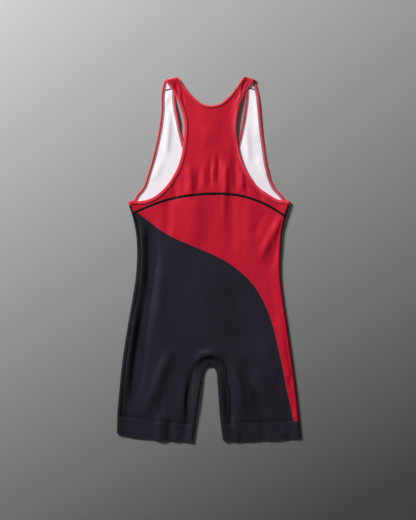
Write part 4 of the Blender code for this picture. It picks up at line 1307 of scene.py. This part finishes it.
def knit(name, colour, roughness, sheen, specular):
    """Fine jersey: columns of small V stitches, with uneven dye, painted shade between the wales and a soft sheen.
    """
    material = bpy.data.materials.new(name)
    material.use_nodes = True
    tree = material.node_tree
    shader = tree.nodes["Principled BSDF"]
    place = tree.nodes.new("ShaderNodeTexCoord").outputs["Object"]
    split = tree.nodes.new("ShaderNodeSeparateXYZ")
    tree.links.new(place, split.inputs[0])

    wales = math_node(tree, "DIVIDE", split.outputs["X"], WALE)
    middle = math_node(tree, "SUBTRACT", math_node(tree, "FRACT", wales), 0.5)
    aside = math_node(tree, "MULTIPLY", math_node(tree, "ABSOLUTE", middle), 2.0)
    courses = math_node(tree, "DIVIDE", split.outputs["Y"], COURSE)
    slant = math_node(tree, "MULTIPLY_ADD", aside, 0.8, courses)
    loop = math_node(tree, "SINE", math_node(tree, "MULTIPLY", slant, 2 * math.pi))
    rise = math_node(tree, "SUBTRACT", 1.0, math_node(tree, "POWER", aside, 3.0))
    stitch = math_node(tree, "MULTIPLY", rise, math_node(tree, "MULTIPLY_ADD", loop, 0.3, 0.7))

    fuzz = tree.nodes.new("ShaderNodeTexNoise")
    fuzz.inputs["Scale"].default_value = 900.0
    fuzz.inputs["Detail"].default_value = 3.0
    tree.links.new(place, fuzz.inputs["Vector"])
    height = math_node(tree, "MULTIPLY_ADD", fuzz.outputs["Fac"], 0.25, stitch)
    bump = tree.nodes.new("ShaderNodeBump")
    bump.inputs["Strength"].default_value = 0.45
    bump.inputs["Distance"].default_value = KNIT_DEPTH * MM
    tree.links.new(height, bump.inputs["Height"])
    tree.links.new(bump.outputs["Normal"], shader.inputs["Normal"])

    dye = tree.nodes.new("ShaderNodeTexNoise")
    dye.inputs["Scale"].default_value = 22.0
    dye.inputs["Detail"].default_value = 4.0
    tree.links.new(place, dye.inputs["Vector"])
    shade = math_node(tree, "MULTIPLY_ADD", dye.outputs["Fac"], 0.16, 0.86)
    # Painted shade: the colour is also darker between the wales, where the stitch's height is low, standing in for
    # shade in the knit's hollows.
    shade = math_node(tree, "MULTIPLY_ADD", stitch, 0.10, shade)
    mix = tree.nodes.new("ShaderNodeVectorMath")
    mix.operation = "SCALE"
    mix.inputs[0].default_value = colour
    tree.links.new(shade, mix.inputs["Scale"])
    tree.links.new(mix.outputs[0], shader.inputs["Base Color"])

    gloss = math_node(tree, "MULTIPLY_ADD", dye.outputs["Fac"], 0.10, roughness - 0.05)
    tree.links.new(gloss, shader.inputs["Roughness"])
    shader.inputs["Sheen Weight"].default_value = sheen
    shader.inputs["Sheen Roughness"].default_value = 0.4
    shader.inputs["Specular IOR Level"].default_value = specular
    return material


def thread_material(name, colour):
    """Twisted polyester thread, with painted shade in the hollows of its twist."""
    material = bpy.data.materials.new(name)
    material.use_nodes = True
    tree = material.node_tree
    shader = tree.nodes["Principled BSDF"]
    place = tree.nodes.new("ShaderNodeTexCoord").outputs["Object"]
    twist = tree.nodes.new("ShaderNodeTexNoise")
    twist.inputs["Scale"].default_value = 2400.0
    tree.links.new(place, twist.inputs["Vector"])
    # Painted shade: the colour follows the twist's bump, darker where it is low, as shade in its hollows would be.
    shade = math_node(tree, "MULTIPLY_ADD", twist.outputs["Fac"], 0.5, 0.75)
    mix = tree.nodes.new("ShaderNodeVectorMath")
    mix.operation = "SCALE"
    mix.inputs[0].default_value = colour
    tree.links.new(shade, mix.inputs["Scale"])
    tree.links.new(mix.outputs[0], shader.inputs["Base Color"])
    bump = tree.nodes.new("ShaderNodeBump")
    bump.inputs["Strength"].default_value = 0.4
    bump.inputs["Distance"].default_value = 0.05 * MM
    tree.links.new(twist.outputs["Fac"], bump.inputs["Height"])
    tree.links.new(bump.outputs["Normal"], shader.inputs["Normal"])
    shader.inputs["Roughness"].default_value = 0.55
    shader.inputs["Specular IOR Level"].default_value = 0.2
    return material


LEFT_SHOULDER = Shoulder(*SHOULDER_LEFT)
RIGHT_SHOULDER = Shoulder(*SHOULDER_RIGHT)
LEFT_FOLD = Path(SIDE_LEFT)
RIGHT_FOLD = Path(SIDE_RIGHT)
INNER_FOLD = Path(INNER_LEGS)
FOLDS = [
    (fold.point(stations(0, fold.length, 5.0)), radius)
    for fold, radius in ((LEFT_FOLD, left_radius), (RIGHT_FOLD, plain_radius), (INNER_FOLD, inner_radius))
] + [(np.array(shoulder.ends), plain_radius) for shoulder in (LEFT_SHOULDER, RIGHT_SHOULDER)]
colour_path = Path(COLOUR_LINE)
COLOUR_POINTS = colour_path.point(stations(0, colour_path.length, COLOUR_STEP))

LEFT_STRIP, INNER_STRIP, RIGHT_STRIP = make_strips()
LEFT_UNDERARM = Underarm(LEFT_FOLD, 0.0, 1)
RIGHT_UNDERARM = Underarm(RIGHT_FOLD, RIGHT_FOLD.length, -1)
ARM_WIDTHS = (ARMHOLE_BINDING_BACK, ARMHOLE_BINDING_FRONT)
NECK_WIDTHS = (NECK_BINDING_BACK, NECK_BINDING_FRONT)
ARM_LEFT = Edge(ARMHOLE_LEFT_BACK, ARMHOLE_LEFT_FRONT, LEFT_SHOULDER, 1, ARM_WIDTHS, LEFT_UNDERARM)
ARM_RIGHT = Edge(ARMHOLE_RIGHT_BACK, ARMHOLE_RIGHT_FRONT, RIGHT_SHOULDER, -1, ARM_WIDTHS, RIGHT_UNDERARM)
NECK_LEFT = Edge(NECK_LEFT_BACK, NECK_LEFT_FRONT, LEFT_SHOULDER, -1, NECK_WIDTHS)
NECK_RIGHT = Edge(NECK_RIGHT_BACK, NECK_RIGHT_FRONT, RIGHT_SHOULDER, 1, NECK_WIDTHS)

arc_points = yoke_seam(0.0)
arc_way = arc_points[-1] - arc_points[-4]
arc_end = arc_points[-1] + arc_way / np.linalg.norm(arc_way) * SIDE_MARGIN
ARC = Path(np.vstack((arc_points[:-2:4], arc_points[-1:], [arc_end])))
inseam_points = INNER_STRIP.inner_line(0.0)
INSEAM = Path(np.vstack((inseam_points[:-2:3], inseam_points[-1:])))
BAND_LEFT = Path(BAND_SEAM_LEFT)
BAND_RIGHT = Path(BAND_SEAM_RIGHT)
SEAM_LINES = [path.point(stations(0, path.length, 5.0)) for path in (ARC, INSEAM, BAND_LEFT, BAND_RIGHT)]
INSEAM_NUMBER = 1
OPENINGS = [
    (np.array((*back, *front)), np.array(back))
    for back, front in (
        (ARMHOLE_LEFT_BACK, ARMHOLE_LEFT_FRONT),
        (ARMHOLE_RIGHT_BACK, ARMHOLE_RIGHT_FRONT),
    )
]

red = knit("red_knit", RED, 0.52, 0.03, 0.16)
navy = knit("navy_knit", NAVY, 0.48, 0.0, 0.16)
inside_white = knit("inside_knit", INSIDE, 0.65, 0.10, 0.20)
binding_red = knit("binding_red", BINDING_RED, 0.50, 0.08, 0.26)
black_thread = thread_material("black_thread", BLACK_THREAD)
red_thread_with_groove_shade = thread_material("red_thread_with_groove_shade", RED_THREAD_WITH_GROOVE_SHADE)
pink_thread = thread_material("pink_thread", PINK_THREAD)
grey_thread = thread_material("grey_thread", GREY_THREAD)
navy_thread = thread_material("navy_thread", NAVY_THREAD)
seam_thread = thread_material("seam_thread", SEAM_THREAD)

front = make_front_panel("front_panel_knit", [red, navy, inside_white])
back = make_back_panel("back_panel_knit", [red, navy, inside_white])
yoke = make_back_yoke("back_yoke_knit", [red, inside_white])
arm_left = make_armhole_binding("armhole_binding_left_knit", ARM_LEFT, binding_red)
arm_right = make_armhole_binding("armhole_binding_right_knit", ARM_RIGHT, binding_red)
neck = make_neck_binding("neck_binding_knit", binding_red)
band_left = make_leg_band("leg_band_left_knit", BAND_SEAM_LEFT, HEM_LEFT, [navy, inside_white])
band_right = make_leg_band("leg_band_right_knit", BAND_SEAM_RIGHT, HEM_RIGHT, [navy, inside_white])

arc_lay = on_path(ARC, lay_upper)
stitching = flatlock("yoke_flatlock", 0.0, ARC.length, arc_lay, OUTWARD, black_thread, FLATLOCK_WIDTH)
for name, strip, material, width in (
    ("left_side", LEFT_STRIP, black_thread, SIDE_FLATLOCK_WIDTH),
    ("right_side", RIGHT_STRIP, black_thread, SIDE_FLATLOCK_WIDTH),
    ("inseam", INNER_STRIP, navy_thread, INSEAM_FLATLOCK_WIDTH),
):
    start, end = strip.at[0], strip.at[-1]
    stitching += flatlock(name + "_flatlock", start, end, on_strip(strip), OUTWARD, material, width)

for name, edge in (
    ("armhole_left", ARM_LEFT),
    ("armhole_right", ARM_RIGHT),
    ("neck_left", NECK_LEFT),
    ("neck_right", NECK_RIGHT),
):
    end = edge.path.length
    every = np.linspace(0, end, 2000)
    front_start = every[np.argmax(edge.shoulder.beyond(edge.path.point(every)) > math.pi * FOLD_RADIUS / 2)]
    lay = on_binding(edge, STITCH_IN)
    for part, span, width, material in (
        # the topstitch's bed and threads are dark red: real stitching, with the groove's shade painted into their
        # colour
        ("topstitch", (0.0, front_start), TOPSTITCH_WIDTH, red_thread_with_groove_shade),
        ("inner_stitch", (front_start, end), INNER_STITCH_WIDTH, pink_thread),
    ):
        stitching.append(seam_bed(f"{name}_{part}_bed", *span, width, lay, BINDING_LIFT, material))
        thread = Thread()
        for aside in (-0.32, 0.32):
            run_of_stitches(thread, *span, aside * width, lay, BINDING_LIFT + BED_HEIGHT)
        stitching.append(thread.make(f"{name}_{part}", material))
    # the cover stitch shows on the inside of the front, below the shoulder seam
    span = (front_start + SHOULDER_SEAM / 2, end - UNDERARM_BLEND / 2 if edge.underarm else end)
    lay = beside_binding(edge, COVER_IN)
    stitching.append(seam_bed(name + "_cover_bed", *span, COVER_WIDTH, lay, INWARD, grey_thread))
    thread = Thread()
    zigzag(thread, *span, COVER_WIDTH * 0.9, FLATLOCK_PITCH, lay, INWARD + BED_HEIGHT)
    stitching.append(thread.make(name + "_cover_thread", grey_thread))

for name, arm, neck_edge in (("left", ARM_LEFT, NECK_LEFT), ("right", ARM_RIGHT, NECK_RIGHT)):
    cut = math.pi * FOLD_RADIUS + SHOULDER_SEAM
    ends = [split_at(edge.sewn_line(), edge.shoulder.beyond, cut)[1] for edge in (arm, neck_edge)]
    shoulder_path = Path([ends[0], (ends[0] + ends[1]) / 2, ends[1]])
    shoulder_lay = on_path(shoulder_path, lambda plan: facing_up(*lay_yoke(plan)[:2]))
    seam = (f"shoulder_{name}_flatlock", 0.0, shoulder_path.length, shoulder_lay)
    stitching += flatlock(*seam, INWARD, seam_thread, SHOULDER_FLATLOCK_WIDTH)

for name, path in (("left", BAND_LEFT), ("right", BAND_RIGHT)):
    thread = Thread()
    for up in (0.0, 2.4):
        lay = on_path(path, lambda plan, up=up: lay_upper(plan + (0, BAND_STITCH_UP + up)))
        run_of_stitches(thread, FOLD_RADIUS + 2, path.length - FOLD_RADIUS - 2, 0.0, lay, OUTWARD)
    stitching.append(thread.make(f"leg_band_{name}_topstitch", navy_thread))

CLOTHS = (
    (front, "front_panel", "red_knit", (0.45, 0.74), 0.213),
    (back, "back_panel", "navy_knit", (0.40, 0.51), 0.154),
    (yoke, "back_yoke", "red_knit", (0.33, 0.33), 0.033),
    (arm_left, "armhole_binding_left", "binding_red", (0.635, 0.010), 0.0055),
    (arm_right, "armhole_binding_right", "binding_red", (0.625, 0.010), 0.0055),
    (neck, "neck_binding", "binding_red", (0.705, 0.010), 0.0047),
    (band_left, "leg_band_left", "navy_knit", (0.35, 0.040), None),
    (band_right, "leg_band_right", "navy_knit", (0.35, 0.040), None),
)
for piece, node, slot, flat, area in CLOTHS:
    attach(piece, BODY)
    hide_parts(node)
for piece in stitching:
    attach(piece, BODY)

floor_data = bpy.data.meshes.new("floor")
floor_data.from_pydata([(-3, -3, 0), (3, -3, 0), (3, 3, 0), (-3, 3, 0)], [], [(0, 1, 2, 3)])
floor = bpy.data.objects.new("floor", floor_data)
bpy.context.scene.collection.objects.link(floor)
paper_with_painted_light = bpy.data.materials.new("paper_with_painted_light")
paper_with_painted_light.use_nodes = True
tree = paper_with_painted_light.node_tree
shader = tree.nodes["Principled BSDF"]
place = tree.nodes.new("ShaderNodeTexCoord").outputs["Object"]
split = tree.nodes.new("ShaderNodeSeparateXYZ")
tree.links.new(place, split.inputs[0])
# Painted light: the paper's colour is lighter towards the top left and darker towards the bottom right, between two
# limits, standing in for the lamp's fall of light over the floor.
fall = math_node(tree, "MULTIPLY_ADD", split.outputs["Y"], 0.29, 0.29)
fall = math_node(tree, "MULTIPLY_ADD", split.outputs["X"], -0.155, fall)
fall = math_node(tree, "MAXIMUM", math_node(tree, "MINIMUM", fall, 0.55), 0.085)
mix = tree.nodes.new("ShaderNodeVectorMath")
mix.operation = "SCALE"
mix.inputs[0].default_value = (0.98, 1.0, 1.0)
tree.links.new(fall, mix.inputs["Scale"])
tree.links.new(mix.outputs[0], shader.inputs["Base Color"])
shader.inputs["Roughness"].default_value = 0.9
shader.inputs["Specular IOR Level"].default_value = 0.1
floor_data.materials.append(paper_with_painted_light)


def area_light(name, place, target, size, power):
    data = bpy.data.lights.new(name, "AREA")
    data.shape = "DISK"
    data.size = size
    data.energy = power
    light = bpy.data.objects.new(name, data)
    light.location = place
    way = Vector(target) - Vector(place)
    light.rotation_euler = way.to_track_quat("-Z", "Y").to_euler()
    bpy.context.scene.collection.objects.link(light)


area_light("key", (-3.0, 2.8, 2.15), (0, 0, 0), 1.3, 338)
area_light("fill", (0.8, -0.4, 2.4), (0, 0, 0), 1.8, 4)
world = bpy.data.worlds.new("studio")
world.use_nodes = True
world.node_tree.nodes["Background"].inputs["Color"].default_value = (1, 1, 1, 1)
world.node_tree.nodes["Background"].inputs["Strength"].default_value = 0.07
bpy.context.scene.world = world
bpy.context.scene.view_settings.view_transform = "Standard"

LENS = 85.0
SENSOR = 36.0
PIXEL = 0.0022
FRAME_HEIGHT = 520
camera_data = bpy.data.cameras.new("camera")
camera_data.lens = LENS
camera_data.sensor_width = SENSOR
camera = bpy.data.objects.new("camera", camera_data)
camera.location = (-0.0011, -0.0013, PIXEL * FRAME_HEIGHT * LENS / SENSOR)
bpy.context.scene.collection.objects.link(camera)
bpy.context.scene.camera = camera
